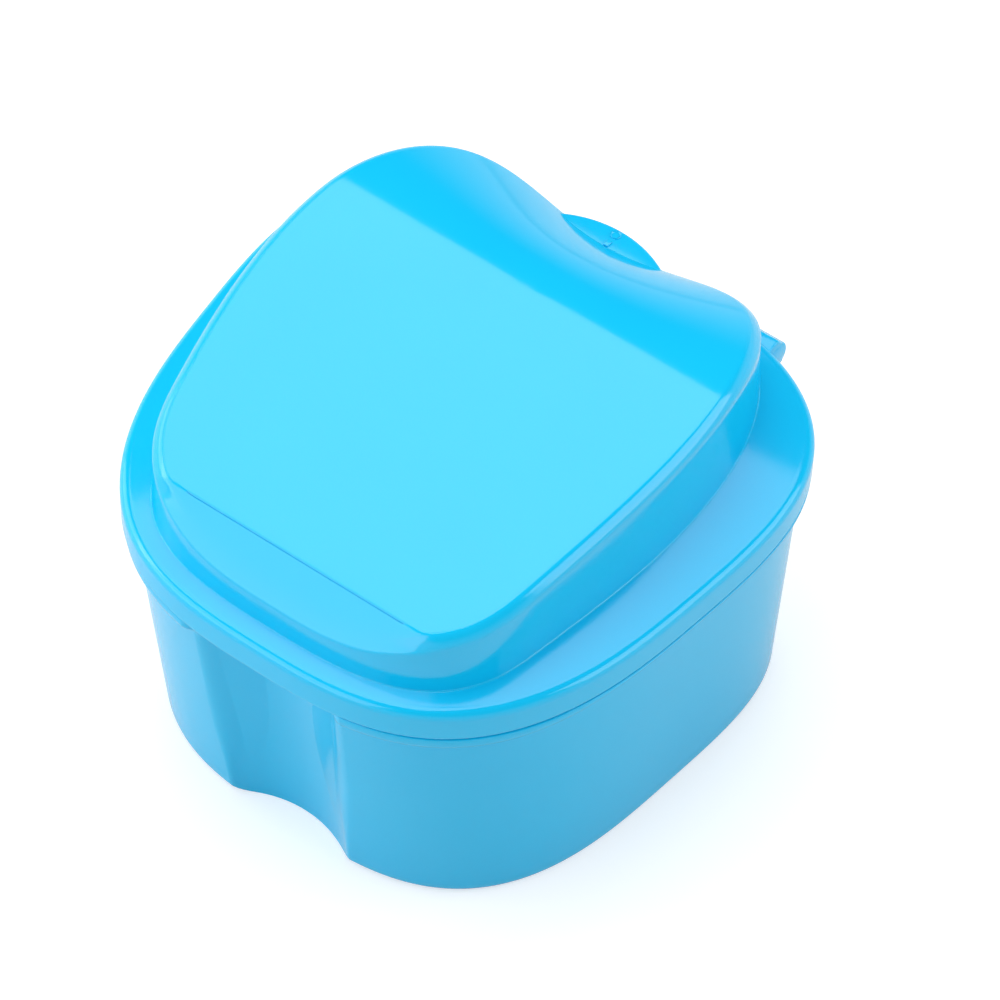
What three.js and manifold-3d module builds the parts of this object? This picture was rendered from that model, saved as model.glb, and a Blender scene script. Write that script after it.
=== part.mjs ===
// A small lidded case for a denture: a tapered tub, a strainer basket that hangs inside it, and a lid
// with a wedge-shaped hood, hinged along the rear. Millimetres, +Z up, +X to the right along the
// front, +Y towards the hinge. The origin is the middle of the tub's flat underside.
import * as THREE from 'three';
import { mergeVertices } from 'three/addons/utils/BufferGeometryUtils.js';
import Module from 'manifold-3d';

// Whole case.
const overallWidth = 90;
const overallDepth = 90;
const overallHeight = 70;
const wall = 1.6;
const runningGap = 0.3;
const overrun = 3;
const outlineSteps = 72;
const roundSteps = 3;

// Lid: the skirt that hangs over the tub's rim, and the sloping flange above it.
const hoodRise = 18.4;
const flangeEdgeTop = overallHeight - hoodRise;
const skirtHeight = 5.6;
const skirtBottom = flangeEdgeTop - skirtHeight;
const flangeEdgeRadius = 1.5;
const flangeRise = 0.5;
const flangeThickness = 1.9;
const lidFrontPower = 2.9;
const lidRearPower = 2.95;
const lidFlareShare = 0.12;

// Lid: the hood that stands on the flange.
const flangeSideWidth = 9.3;
const flangeFrontWidth = 3.7;
const hoodRearReach = 2.5;
const hoodWidth = overallWidth - 2 * flangeSideWidth;
const hoodFront = flangeFrontWidth - overallDepth / 2;
const hoodRear = overallDepth / 2 + hoodRearReach;
const waistSetback = 19.8;
const hoodWaist = hoodFront + waistSetback;
const hoodFrontPower = 3;
const hoodRearPower = 2.45;
const hoodFlareShare = 0.28;
const hoodFoot = flangeEdgeTop + flangeRise;
const hoodDraft = 0.4;
const creaseSetback = 5.6;
const creaseAt = hoodFront + creaseSetback;
const creaseDrop = 7.7;
const creaseHeight = overallHeight - creaseDrop;
const facetRun = 6;
const facetDrop = 6.5;
const crestSetback = 34.5;
const crestAt = hoodRear - crestSetback;
const rearRoundDrop = 16.5;
const rearRoundFoot = overallHeight - rearRoundDrop;
const edgeBandWidth = 1.6;
const edgeBandDrop = 1.5;
// Way from the crease to the crest, and height gained there.
const plateShares = [
  [0, 0], [0.15, 0.28], [0.3, 0.51], [0.45, 0.698], [0.6, 0.84], [0.75, 0.9375], [0.88, 0.986], [1, 1],
];
const rearRoundPower = 1.77;
const roofSteps = 48;
const creaseInset = 2.8;
// The roof's rings: shares of the edge band, then shares of the ring that lies on the crease.
const bandRingShares = [0, 1];
const roofRingShares = [1, 0.95, 0.88, 0.79, 0.67, 0.52, 0.36, 0.18];

// Lid: the shallow dip in the middle of the hood's rear, and the thumb ledge that stands in it.
const dipDepth = 6.9;
const dipHalfWidth = 34;
const ledgeHeight = 8.6;
const ledgeTop = hoodFoot + ledgeHeight;
const ledgeRadius = 17.5;
const ledgeProud = 0.5;
const ledgeReach = hoodRear - dipDepth + ledgeProud;
const ledgeEdge = 0.6;
const gatePitRadius = 0.7;
const gatePitDepth = 0.5;
const gatePitInset = 1.3;

// Tub. Its foot is drawn in from the case's outline at the sides, in front and behind.
const tubSideTaper = 4.75;
const tubFrontTaper = 7.3;
const tubRearTaper = 4.2;
const tubBaseWidth = overallWidth - 2 * tubSideTaper;
const tubBaseFront = tubFrontTaper - overallDepth / 2;
const tubBaseRear = overallDepth / 2 - tubRearTaper;
const tubRim = flangeEdgeTop - flangeThickness - runningGap;
const tubFrontPower = 3.1;
const tubRearPower = 3.1;
const tubFlareShare = 0.11;
const tubFloor = 1.8;
const tubFootRadius = 1.6;
const tubFloorRadius = 2.2;
const lipReach = 0.8;
const lipHeight = 1.1;
const lipRound = 0.35;

// Tub: the finger scallop down the middle of its front, up to the lid's skirt.
const scallopRadius = 17.3;
const scallopBottomReach = 4.2;
const scallopLean = 3.8;
const facetFoot = 16;
const facetWidth = 2.4;

// Tub: the ribs inside that the basket's rim rests on.
const ribDrop = 5.6;
const ribTop = skirtBottom - ribDrop;
const ribThickness = 1.4;
const ribDepth = 2.3;
const ribBearingsShare = [0.055, 0.17, 0.36, 0.445, 0.555, 0.64, 0.83, 0.945];

// Hinge: two ears with pegs on the tub, and two barrels on the lid that turn on them.
const hingeSpan = 46;
const hingeDrop = 2.4;
const hingeAxisHeight = tubRim - hingeDrop;
const barrelRadius = 2.5;
const barrelLength = 5.4;
const pegRadius = 1.4;
const pegPlay = 0.08;
const earThickness = 2.4;
const earRadius = 2.1;
const hingeSideGap = 0.3;
const openAngle = 110;
const reliefHeadroom = 0.4;
const hingeSteps = 24;

// Basket.
const basketClearance = 0.5;
const basketFloorHeight = 8;
const basketWall = 1.4;
const basketRimThickness = 1.4;
const basketFootRadius = 3;
const slotWidth = 2.4;
const floorSlotLength = 13;
const floorSlotRowPitch = 6.4;
const floorSlotColumnPitch = 18;
const floorSlotRows = 9;
const floorSlotColumns = 3;
const wallSlotFootShare = 0.37;
const wallSlotTopShare = 0.77;
const wallSlotFoot = ribTop * wallSlotFootShare;
const wallSlotHeight = ribTop * wallSlotTopShare - wallSlotFoot;
const wallSlots = 22;
const slotEndSteps = 3;
const handleWidth = 26;
const handleRise = 1.2;
const handleTop = flangeEdgeTop + handleRise;
const handleThickness = 2.2;
const handleBar = 3.8;
const handleInset = 3;
const handleCorner = 6;

const wasm = await Module();
wasm.setup();

// Turns a closed three.js geometry into a solid for cutting and joining.
function solid(geometry) {
  const bare = geometry.clone();
  for (const name of Object.keys(bare.attributes)) {
    if (name !== 'position') bare.deleteAttribute(name);
  }
  const merged = mergeVertices(bare, 1e-5);
  const corners = new Float32Array(merged.attributes.position.array);
  const faces = new Uint32Array(merged.index.array);
  const mesh = new wasm.Mesh({ numProp: 3, vertProperties: corners, triVerts: faces });
  return new wasm.Manifold(mesh);
}

// Turns a solid into a named mesh of its own material.
function pieceOf(name, shape, look) {
  const { vertProperties, triVerts } = shape.getMesh();
  const geometry = new THREE.BufferGeometry();
  geometry.setAttribute('position', new THREE.BufferAttribute(new Float32Array(vertProperties), 3));
  geometry.setIndex(new THREE.BufferAttribute(new Uint32Array(triVerts), 1));
  geometry.computeVertexNormals();
  const mesh = new THREE.Mesh(geometry, new THREE.MeshStandardMaterial(look));
  mesh.name = name;
  return mesh;
}

// A plan outline: a rounded square with bowed sides, narrower in front than at the rear. It starts
// in the middle of the front and runs anticlockwise seen from above.
class PlanCurve extends THREE.Curve {
  constructor({ width, front, rear, waist, frontPower, rearPower, flareShare }) {
    super();
    this.arcLengthDivisions = 900;
    Object.assign(this, { front, rear, waist, frontPower, rearPower, flareShare });
    this.halfWidth = 1;
    let widest = 0;
    for (let i = 0; i < 400; i += 1) widest = Math.max(widest, this.getPoint(i / 400).x);
    this.halfWidth = width / 2 / widest;
  }

  getPoint(t) {
    const angle = 2 * Math.PI * t - Math.PI / 2;
    const c = Math.cos(angle);
    const s = Math.sin(angle);
    const power = s < 0 ? this.frontPower : this.rearPower;
    const reach = s < 0 ? this.waist - this.front : this.rear - this.waist;
    const along = Math.sign(s) * Math.abs(s) ** (2 / power);
    const flare = 1 + this.flareShare * along * reach / ((this.rear - this.front) / 2);
    const x = this.halfWidth * Math.sign(c) * Math.abs(c) ** (2 / power) * flare;
    return new THREE.Vector3(x, this.waist + reach * along, 0);
  }
}

// Draws a point behind the hood's crest forwards, most in the middle: the dip in the hood's rear.
function dipped([x, y, z]) {
  const across = Math.min(1, Math.abs(x) / dipHalfWidth);
  const depth = dipDepth * (1 + Math.cos(Math.PI * across)) / 2;
  return [x, y - depth * THREE.MathUtils.smoothstep(y, crestAt, hoodRear), z];
}

// Evenly spaced points of a plan outline, without the repeated last one.
function planPoints(curve) {
  return curve.getSpacedPoints(outlineSteps).slice(0, outlineSteps).map((p) => [p.x, p.y]);
}

// Moves a plan outline inwards along its own normals.
function inset(points, distance) {
  return points.map(([x, y], i) => {
    const before = points[(i + points.length - 1) % points.length];
    const after = points[(i + 1) % points.length];
    const run = Math.hypot(after[0] - before[0], after[1] - before[1]);
    const nx = (after[1] - before[1]) / run;
    const ny = (before[0] - after[0]) / run;
    return [x - nx * distance, y - ny * distance];
  });
}

// Blends two plan outlines point by point.
function between(low, high, share) {
  return low.map(([x, y], i) => [x + (high[i][0] - x) * share, y + (high[i][1] - y) * share]);
}

// Shrinks a plan outline towards its middle.
function shrunk(points, share) {
  return points.map(([x, y]) => [x * share, y * share]);
}

// Gives a plan outline its height, one for all or one for each point.
function raised(points, height) {
  return points.map(([x, y], i) => [x, y, typeof height === 'function' ? height(x, y, i) : height]);
}

// Joins rings of equally many points into a closed skin and fills the two end rings.
function loft(rings) {
  const count = rings[0].length;
  const corners = rings.flat(2);
  const faces = [];
  for (let r = 0; r + 1 < rings.length; r += 1) {
    for (let i = 0; i < count; i += 1) {
      const j = (i + 1) % count;
      const [a, b] = [r * count + i, r * count + j];
      faces.push(a, b, b + count, a, b + count, a + count);
    }
  }
  const last = (rings.length - 1) * count;
  const flat = (ring, u, v) => ring.map((p) => new THREE.Vector2(p[u], p[v]));
  const across = Math.abs(rings[0][0][0] - rings[0][1][0]) + Math.abs(rings[0][1][0] - rings[0][2][0]);
  const [u, v] = across === 0 ? [1, 2] : [0, 1];
  for (const [a, b, c] of THREE.ShapeUtils.triangulateShape(flat(rings[0], u, v), [])) {
    faces.push(c, b, a);
  }
  for (const [a, b, c] of THREE.ShapeUtils.triangulateShape(flat(rings.at(-1), u, v), [])) {
    faces.push(last + a, last + b, last + c);
  }
  const geometry = new THREE.BufferGeometry();
  geometry.setAttribute('position', new THREE.Float32BufferAttribute(corners, 3));
  geometry.setIndex(faces);
  return solid(geometry);
}

// A round post standing on a plan point.
function post(radius, x, y, bottom, top, steps = outlineSteps) {
  const geometry = new THREE.CylinderGeometry(radius, radius, top - bottom, steps);
  geometry.rotateX(Math.PI / 2);
  geometry.translate(x, y, (top + bottom) / 2);
  return geometry;
}

// A round bar lying along X.
function bar(radius, fromX, toX, y, z) {
  const geometry = new THREE.CylinderGeometry(radius, radius, Math.abs(toX - fromX), hingeSteps);
  geometry.rotateZ(Math.PI / 2);
  geometry.translate((fromX + toX) / 2, y, z);
  return solid(geometry);
}

// A box given by its low and high corners.
function block(low, high) {
  const geometry = new THREE.BoxGeometry(high[0] - low[0], high[1] - low[1], high[2] - low[2]);
  geometry.translate((low[0] + high[0]) / 2, (low[1] + high[1]) / 2, (low[2] + high[2]) / 2);
  return solid(geometry);
}

// A plate outlined in the YZ plane and thickened along X.
function sidePlate(points, fromX, toX) {
  const shape = new THREE.Shape(points.map(([y, z]) => new THREE.Vector2(y, z)));
  const depth = Math.abs(toX - fromX);
  const geometry = new THREE.ExtrudeGeometry(shape, { depth, bevelEnabled: false, curveSegments: 8 });
  const place = new THREE.Matrix4();
  place.set(0, 0, 1, Math.min(fromX, toX), 1, 0, 0, 0, 0, 1, 0, 0, 0, 0, 0, 1);
  geometry.applyMatrix4(place);
  return solid(geometry);
}

// A slot with round ends: its outline lies in a plane across the cutting way.
function slotShape(width, length) {
  const radius = width / 2;
  const half = length / 2 - radius;
  const shape = new THREE.Shape();
  shape.moveTo(radius, -half);
  shape.lineTo(radius, half);
  shape.absarc(0, half, radius, 0, Math.PI, false);
  shape.lineTo(-radius, -half);
  shape.absarc(0, -half, radius, Math.PI, 2 * Math.PI, false);
  return shape;
}

// Plan outlines of the lid's skirt, of the tub at its foot and rim, and of the hood.
const skirtPlan = planPoints(new PlanCurve({
  width: overallWidth,
  front: -overallDepth / 2,
  rear: overallDepth / 2,
  waist: 0,
  frontPower: lidFrontPower,
  rearPower: lidRearPower,
  flareShare: lidFlareShare,
}));
const tubFootPlan = planPoints(new PlanCurve({
  width: tubBaseWidth,
  front: tubBaseFront,
  rear: tubBaseRear,
  waist: (tubBaseFront + tubBaseRear) / 2,
  frontPower: tubFrontPower,
  rearPower: tubRearPower,
  flareShare: tubFlareShare,
}));
const tubRimPlan = inset(skirtPlan, wall + runningGap);
const hoodPlan = planPoints(new PlanCurve({
  width: hoodWidth,
  front: hoodFront,
  rear: hoodRear,
  waist: hoodWaist,
  frontPower: hoodFrontPower,
  rearPower: hoodRearPower,
  flareShare: hoodFlareShare,
}));
const tubPlanAt = (height) => between(tubFootPlan, tubRimPlan, height / tubRim);
const lipTop = skirtBottom - runningGap;

// The hood's roof seen from the side: front facet, straight crease, long plate, crest, rear round.
function roofProfile(thickness) {
  const run = crestAt - creaseAt;
  const gain = overallHeight - creaseHeight;
  const plate = new THREE.SplineCurve(plateShares.map(
    ([along, up]) => new THREE.Vector2(creaseAt + along * run, creaseHeight + up * gain),
  ));
  const facetStart = hoodFront - overrun;
  const points = [[facetStart, creaseHeight + (facetStart - creaseAt) * facetDrop / facetRun]];
  for (const p of plate.getPoints(roofSteps)) points.push([p.x, p.y]);
  const reach = hoodRear + wall / 2 - crestAt;
  const drop = overallHeight - rearRoundFoot;
  for (let i = 1; i <= roofSteps; i += 1) {
    const turn = (Math.PI / 2) * (i / roofSteps);
    const out = Math.sin(turn) ** (2 / rearRoundPower);
    const down = 1 - Math.cos(turn) ** (2 / rearRoundPower);
    points.push([crestAt + out * reach, overallHeight - down * drop]);
  }
  return points.map(([y, z], i) => {
    const before = points[Math.max(0, i - 1)];
    const after = points[Math.min(points.length - 1, i + 1)];
    const length = Math.hypot(after[0] - before[0], after[1] - before[1]);
    return [
      y + (after[1] - before[1]) / length * thickness,
      z - (after[0] - before[0]) / length * thickness,
    ];
  });
}

// Height of a roof at a place along the case, before the dip.
function roofHeight(profile, y) {
  const next = profile.findIndex(([py]) => py >= y);
  if (next < 0) return profile.at(-1)[1];
  if (next === 0) return profile[0][1];
  const [[y0, z0], [y1, z1]] = [profile[next - 1], profile[next]];
  return THREE.MathUtils.mapLinear(y, y0, y1, z0, z1);
}

// The hood as a full solid: upright walls, an edge band that slants up to the roof, and the roof
// in rings that follow the wall and run straight along the crease.
function hoodBody(thickness, bottom, bandDrop) {
  const profile = roofProfile(thickness);
  const wallTop = inset(hoodPlan, thickness + hoodDraft);
  const lifted = (ring, drop) => raised(ring, (x, y) => roofHeight(profile, y) - drop);
  const onCrease = inset(wallTop, creaseInset).map(([x, y]) => [x, Math.max(y, creaseAt)]);
  const rings = [
    raised(inset(hoodPlan, thickness), bottom),
    ...bandRingShares.map((share) => lifted(inset(wallTop, share * edgeBandWidth), bandDrop * (1 - share))),
    ...roofRingShares.map((share) => lifted(
      onCrease.map(([x, y]) => [x * share, crestAt + (y - crestAt) * share]), 0,
    )),
  ];
  return loft(rings.map((ring) => ring.map(dipped)));
}

// The thumb ledge: a round-fronted step in the dip behind the hood.
function thumbLedge() {
  const profile = [
    [0, hoodFoot - flangeThickness / 2],
    [ledgeRadius, hoodFoot - flangeThickness / 2],
    [ledgeRadius, ledgeTop - ledgeEdge],
    [ledgeRadius - ledgeEdge * (1 - Math.SQRT1_2), ledgeTop - ledgeEdge * (1 - Math.SQRT1_2)],
    [ledgeRadius - ledgeEdge, ledgeTop],
    [0, ledgeTop],
  ].map(([r, z]) => new THREE.Vector2(r, z));
  const geometry = new THREE.LatheGeometry(profile, outlineSteps);
  geometry.rotateX(Math.PI / 2);
  geometry.translate(0, ledgeReach - ledgeRadius, 0);
  const pitAt = ledgeReach - gatePitInset;
  const pit = post(gatePitRadius, 0, pitAt, ledgeTop - gatePitDepth, ledgeTop + overrun, hingeSteps / 2);
  return solid(geometry).subtract(solid(pit));
}

// The flange with its skirt, still full inside.
function flangeBody() {
  const rings = [raised(skirtPlan, skirtBottom)];
  for (let i = 0; i <= roundSteps; i += 1) {
    const turn = (Math.PI / 2) * (i / roundSteps);
    const inwards = flangeEdgeRadius * (1 - Math.cos(turn));
    const up = flangeEdgeTop - flangeEdgeRadius * (1 - Math.sin(turn));
    rings.push(raised(inset(skirtPlan, inwards), up));
  }
  const innerShare = hoodWidth / overallWidth;
  rings.push(raised(shrunk(skirtPlan, innerShare), flangeEdgeTop + flangeRise));
  return loft(rings);
}

// The hollow under the flange, inside the skirt.
function skirtHollow() {
  const inner = inset(skirtPlan, wall);
  const innerShare = hoodWidth / overallWidth;
  const ceiling = flangeEdgeTop - flangeThickness;
  return loft([
    raised(inner, skirtBottom - overrun),
    raised(inner, ceiling),
    raised(shrunk(skirtPlan, innerShare), ceiling + flangeRise),
  ]);
}

// Where the hinge turns, from the tub's rim at the hinge's place across the case.
const rimRearAt = (x) => {
  const near = tubRimPlan.filter(([, y]) => y > 0).sort((a, b) => Math.abs(a[0] - x) - Math.abs(b[0] - x));
  const [p, q] = near;
  return p[1] + (q[1] - p[1]) * (x - p[0]) / (q[0] - p[0]);
};
const barrelInner = hingeSpan / 2 - barrelLength / 2;
const hingeY = rimRearAt(barrelInner) + runningGap + barrelRadius;
const heelReach = barrelRadius + runningGap / 2;
const barrelOuter = hingeSpan / 2 + barrelLength / 2;
const earInner = barrelInner - hingeSideGap - earThickness;
const earOuter = barrelInner - hingeSideGap;

// One hinge barrel of the lid, with the web that joins it to the flange and the heel that stops it.
function lidBarrel(side) {
  const [from, to] = [side * barrelInner, side * barrelOuter];
  const round = bar(barrelRadius, from, to, hingeY, hingeAxisHeight);
  const heelTurn = THREE.MathUtils.degToRad(openAngle);
  const [hy, hz] = [-Math.cos(heelTurn), -Math.sin(heelTurn)];
  const [ty, tz] = [Math.sin(heelTurn), -Math.cos(heelTurn)];
  const halfHeel = barrelRadius * Math.SQRT1_2;
  const heel = sidePlate([
    [hingeY + ty * halfHeel, hingeAxisHeight + tz * halfHeel],
    [hingeY - ty * halfHeel, hingeAxisHeight - tz * halfHeel],
    [hingeY + hy * heelReach - ty * halfHeel / 2, hingeAxisHeight + hz * heelReach - tz * halfHeel / 2],
    [hingeY + hy * heelReach + ty * halfHeel / 2, hingeAxisHeight + hz * heelReach + tz * halfHeel / 2],
  ], from, to);
  const webTop = flangeEdgeTop - flangeThickness / 2;
  const web = sidePlate([
    [hingeY - barrelRadius, hingeAxisHeight],
    [hingeY, hingeAxisHeight],
    [hingeY + barrelRadius * Math.SQRT1_2, hingeAxisHeight + barrelRadius * Math.SQRT1_2],
    [hingeY, webTop],
    [hingeY - barrelRadius, webTop],
  ], from, to);
  return round.add(heel).add(web);
}

// The lid: flange, skirt, hood, thumb ledge and hinge barrels, hollow from below.
function lidShell() {
  let shell = flangeBody();
  const hood = hoodBody(0, hoodFoot - flangeThickness / 2, edgeBandDrop);
  shell = shell.add(hood).add(thumbLedge());
  // The skirt is cut away between the barrels, so that it swings clear of the tub's wall.
  const relief = block(
    [-barrelInner, 0, skirtBottom - overrun],
    [barrelInner, overallDepth, flangeEdgeTop - flangeThickness + reliefHeadroom],
  );
  shell = shell.subtract(relief);
  const barrels = lidBarrel(1).add(lidBarrel(-1));
  shell = shell.subtract(skirtHollow()).add(barrels);
  shell = shell.subtract(hoodBody(wall, skirtBottom, 0));
  for (const side of [1, -1]) {
    const mouth = side * (barrelInner - overrun);
    const bore = bar(pegRadius + pegPlay, mouth, side * (barrelOuter - wall), hingeY, hingeAxisHeight);
    shell = shell.subtract(bore);
  }
  return shell;
}

// The tub's outer body with its rounded foot.
function tubBody() {
  const rings = [];
  for (let i = 0; i <= roundSteps; i += 1) {
    const turn = (Math.PI / 2) * (i / roundSteps);
    const up = tubFootRadius * (1 - Math.cos(turn));
    rings.push(raised(inset(tubPlanAt(up), tubFootRadius * (1 - Math.sin(turn))), up));
  }
  rings.push(raised(tubRimPlan, tubRim));
  return loft(rings);
}

// The lip under the lid's skirt, as a full plate: it is left out behind, between the hinge barrels.
function tubLip() {
  const lipFoot = lipTop - lipHeight;
  const at = (height, out) => raised(inset(tubPlanAt(height), -out), height);
  const plate = loft([
    at(lipFoot, -lipReach),
    at(lipFoot, lipReach - lipRound),
    at(lipFoot + lipRound, lipReach),
    at(lipTop, lipReach),
    at(lipTop, -lipReach),
  ]);
  return plate.subtract(block(
    [-barrelOuter - barrelRadius, 0, lipFoot - overrun],
    [barrelOuter + barrelRadius, overallDepth, lipTop + overrun],
  ));
}

// The hollow inside a wall that follows the tub's own taper.
function tubHollow(thickness, floor, radius, top) {
  const rings = [];
  for (let i = 0; i <= roundSteps; i += 1) {
    const turn = (Math.PI / 2) * (i / roundSteps);
    const up = floor + radius * (1 - Math.cos(turn));
    rings.push(raised(inset(tubPlanAt(up), thickness + radius * (1 - Math.sin(turn))), up));
  }
  rings.push(raised(inset(tubPlanAt(top), thickness), top));
  return loft(rings);
}

// The scallop is one round cut that leans out with the front wall.
const scallopCentre = tubBaseFront + scallopBottomReach - scallopRadius;
function scallop(extra, bottom, top) {
  const geometry = post(scallopRadius + extra, 0, scallopCentre, bottom, top);
  const lean = -scallopLean / skirtBottom;
  geometry.applyMatrix4(new THREE.Matrix4().set(1, 0, 0, 0, 0, 1, lean, 0, 0, 0, 1, 0, 0, 0, 0, 1));
  return solid(geometry);
}

// Half the scallop's width where it leaves the front wall, and that wall's place, at a height.
function scallopEdge(height) {
  const front = tubPlanAt(height)[0][1];
  const reach = front - scallopCentre + scallopLean * height / skirtBottom;
  return [Math.sqrt(scallopRadius ** 2 - reach ** 2), front];
}

// The tapering facet at each edge of the scallop, widest at the top: a chamfer between the front
// wall and the scallop's own curve.
function scallopFacets() {
  const [halfTop, frontTop] = scallopEdge(skirtBottom);
  const [halfFoot, frontFoot] = scallopEdge(facetFoot);
  const turn = Math.asin(halfTop / scallopRadius) - facetWidth / scallopRadius;
  const centreTop = scallopCentre - scallopLean;
  let cuts = null;
  for (const side of [1, -1]) {
    const onWall = [side * (halfTop + facetWidth / 2), frontTop];
    const onCurve = [side * scallopRadius * Math.sin(turn), centreTop + scallopRadius * Math.cos(turn)];
    const way = [onWall[0] - onCurve[0], onWall[1] - onCurve[1]];
    const top = [
      [onWall[0] + way[0], onWall[1] + way[1], skirtBottom],
      [onCurve[0] - way[0] / 2, onCurve[1] - way[1] / 2, skirtBottom],
      [onCurve[0] - way[0] / 2, centreTop, skirtBottom],
      [onWall[0] + way[0], centreTop, skirtBottom],
    ];
    const foot = [side * halfFoot, frontFoot - runningGap, facetFoot];
    const order = side > 0 ? [0, 1, 2, 3] : [3, 2, 1, 0];
    const faces = [0, 1, 2, 0, 2, 3];
    for (let i = 0; i < 4; i += 1) faces.push((i + 1) % 4, i, 4);
    const geometry = new THREE.BufferGeometry();
    const corners = [...order.map((i) => top[i]), foot].flat();
    geometry.setAttribute('position', new THREE.Float32BufferAttribute(corners, 3));
    geometry.setIndex(faces);
    const cut = solid(geometry);
    cuts = cuts ? cuts.add(cut) : cut;
  }
  return cuts;
}

// Ribs that stand up the inside of the wall and carry the basket's rim.
function supportRibs() {
  const middle = inset(tubPlanAt(ribTop), wall);
  let ribs = null;
  for (const bearingShare of ribBearingsShare) {
    const [x, y] = middle[Math.round(bearingShare * outlineSteps) % outlineSteps];
    const geometry = new THREE.BoxGeometry(2 * (ribDepth + wall) + ribDepth, ribThickness, ribTop);
    geometry.rotateZ(Math.atan2(y, x));
    geometry.translate(x, y, ribTop / 2 + tubFloor / 2);
    const rib = solid(geometry);
    ribs = ribs ? ribs.add(rib) : rib;
  }
  const outer = tubHollow(wall / 2, tubFloor / 2, tubFloorRadius, ribTop);
  const inner = tubHollow(wall + ribDepth, tubFloor / 2, tubFloorRadius, ribTop + overrun);
  return ribs.intersect(outer).subtract(inner);
}

// One hinge ear of the tub with its peg.
function tubEar(side) {
  const [from, to] = [side * earInner, side * earOuter];
  const round = bar(earRadius, from, to, hingeY, hingeAxisHeight);
  const wallY = rimRearAt(earInner) - wall / 2;
  const bracket = sidePlate([
    [wallY, hingeAxisHeight - 3 * earRadius],
    [hingeY - earRadius * Math.SQRT1_2, hingeAxisHeight - 1.5 * earRadius],
    [hingeY + earRadius * Math.SQRT1_2, hingeAxisHeight - earRadius * Math.SQRT1_2],
    [hingeY, hingeAxisHeight + earRadius * Math.SQRT1_2],
    [wallY, hingeAxisHeight + earRadius * Math.SQRT1_2],
  ], from, to);
  const pegEnd = side * (barrelOuter - wall - hingeSideGap);
  const peg = bar(pegRadius, side * (earInner + earThickness / 2), pegEnd, hingeY, hingeAxisHeight);
  return round.add(bracket).add(peg);
}

// The tub: walls, floor, lip, scallop, ribs and hinge ears.
function tubShell() {
  const inside = tubHollow(wall, tubFloor, tubFloorRadius, tubRim + overrun)
    .subtract(scallop(wall, -overrun, skirtBottom + wall));
  let shell = tubBody().add(tubLip()).add(tubEar(1)).add(tubEar(-1));
  shell = shell.subtract(scallop(0, -overrun, skirtBottom)).subtract(scallopFacets());
  return shell.subtract(inside).add(supportRibs());
}

// The strainer basket: a tapered cup with a slotted floor and wall, hung by its rim.
function basketBody(thickness, floor, top) {
  const depth = wall + ribDepth + basketClearance + thickness;
  return tubHollow(depth, floor, Math.max(basketFootRadius - thickness, wall), top)
    .subtract(scallop(depth, -overrun, skirtBottom + overrun));
}

function basketShell() {
  const rimBottom = ribTop + runningGap;
  const rimTop = rimBottom + basketRimThickness;
  const rim = loft([
    raised(inset(tubPlanAt(rimBottom), wall + basketClearance), rimBottom),
    raised(inset(tubPlanAt(rimTop), wall + basketClearance), rimTop),
  ]).subtract(scallop(wall + basketClearance, -overrun, skirtBottom + overrun));
  const cup = basketBody(0, basketFloorHeight, rimTop).add(rim)
    .subtract(basketBody(basketWall, basketFloorHeight + basketWall, rimTop + overrun));
  return cup.subtract(basketSlots()).add(basketHandle(rimTop));
}

// The lifting loop at the rear of the basket, on a small shelf of the rim, clear of the lid's hood.
function basketHandle(rimTop) {
  const hoodInner = hoodRear - dipDepth - wall - hoodDraft;
  const back = hoodInner - handleInset;
  const half = handleWidth / 2;
  const foot = rimTop - basketRimThickness;
  const shape = new THREE.Shape();
  shape.moveTo(-half, foot);
  shape.lineTo(half, foot);
  shape.lineTo(half, handleTop - handleCorner);
  shape.absarc(half - handleCorner, handleTop - handleCorner, handleCorner, 0, Math.PI / 2, false);
  shape.absarc(-half + handleCorner, handleTop - handleCorner, handleCorner, Math.PI / 2, Math.PI, false);
  const hole = new THREE.Path();
  const holeHalf = half - handleBar;
  const holeTop = handleTop - handleBar;
  const round = (holeTop - rimTop) / 2;
  hole.moveTo(-holeHalf + round, rimTop);
  hole.lineTo(holeHalf - round, rimTop);
  hole.absarc(holeHalf - round, holeTop - round, round, -Math.PI / 2, Math.PI / 2, false);
  hole.lineTo(-holeHalf + round, holeTop);
  hole.absarc(-holeHalf + round, holeTop - round, round, Math.PI / 2, 3 * Math.PI / 2, false);
  shape.holes.push(hole);
  const settings = { depth: handleThickness, bevelEnabled: false, curveSegments: 8 };
  const geometry = new THREE.ExtrudeGeometry(shape, settings);
  geometry.rotateX(Math.PI / 2);
  geometry.translate(0, back, 0);
  const shelf = block([-half, back - handleThickness, foot], [half, hoodInner + wall + ribDepth, rimTop]);
  const inRim = loft([
    raised(inset(tubPlanAt(foot), wall + basketClearance), foot - overrun),
    raised(inset(tubPlanAt(foot), wall + basketClearance), rimTop + overrun),
  ]);
  return solid(geometry).add(shelf.intersect(inRim));
}

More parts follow.
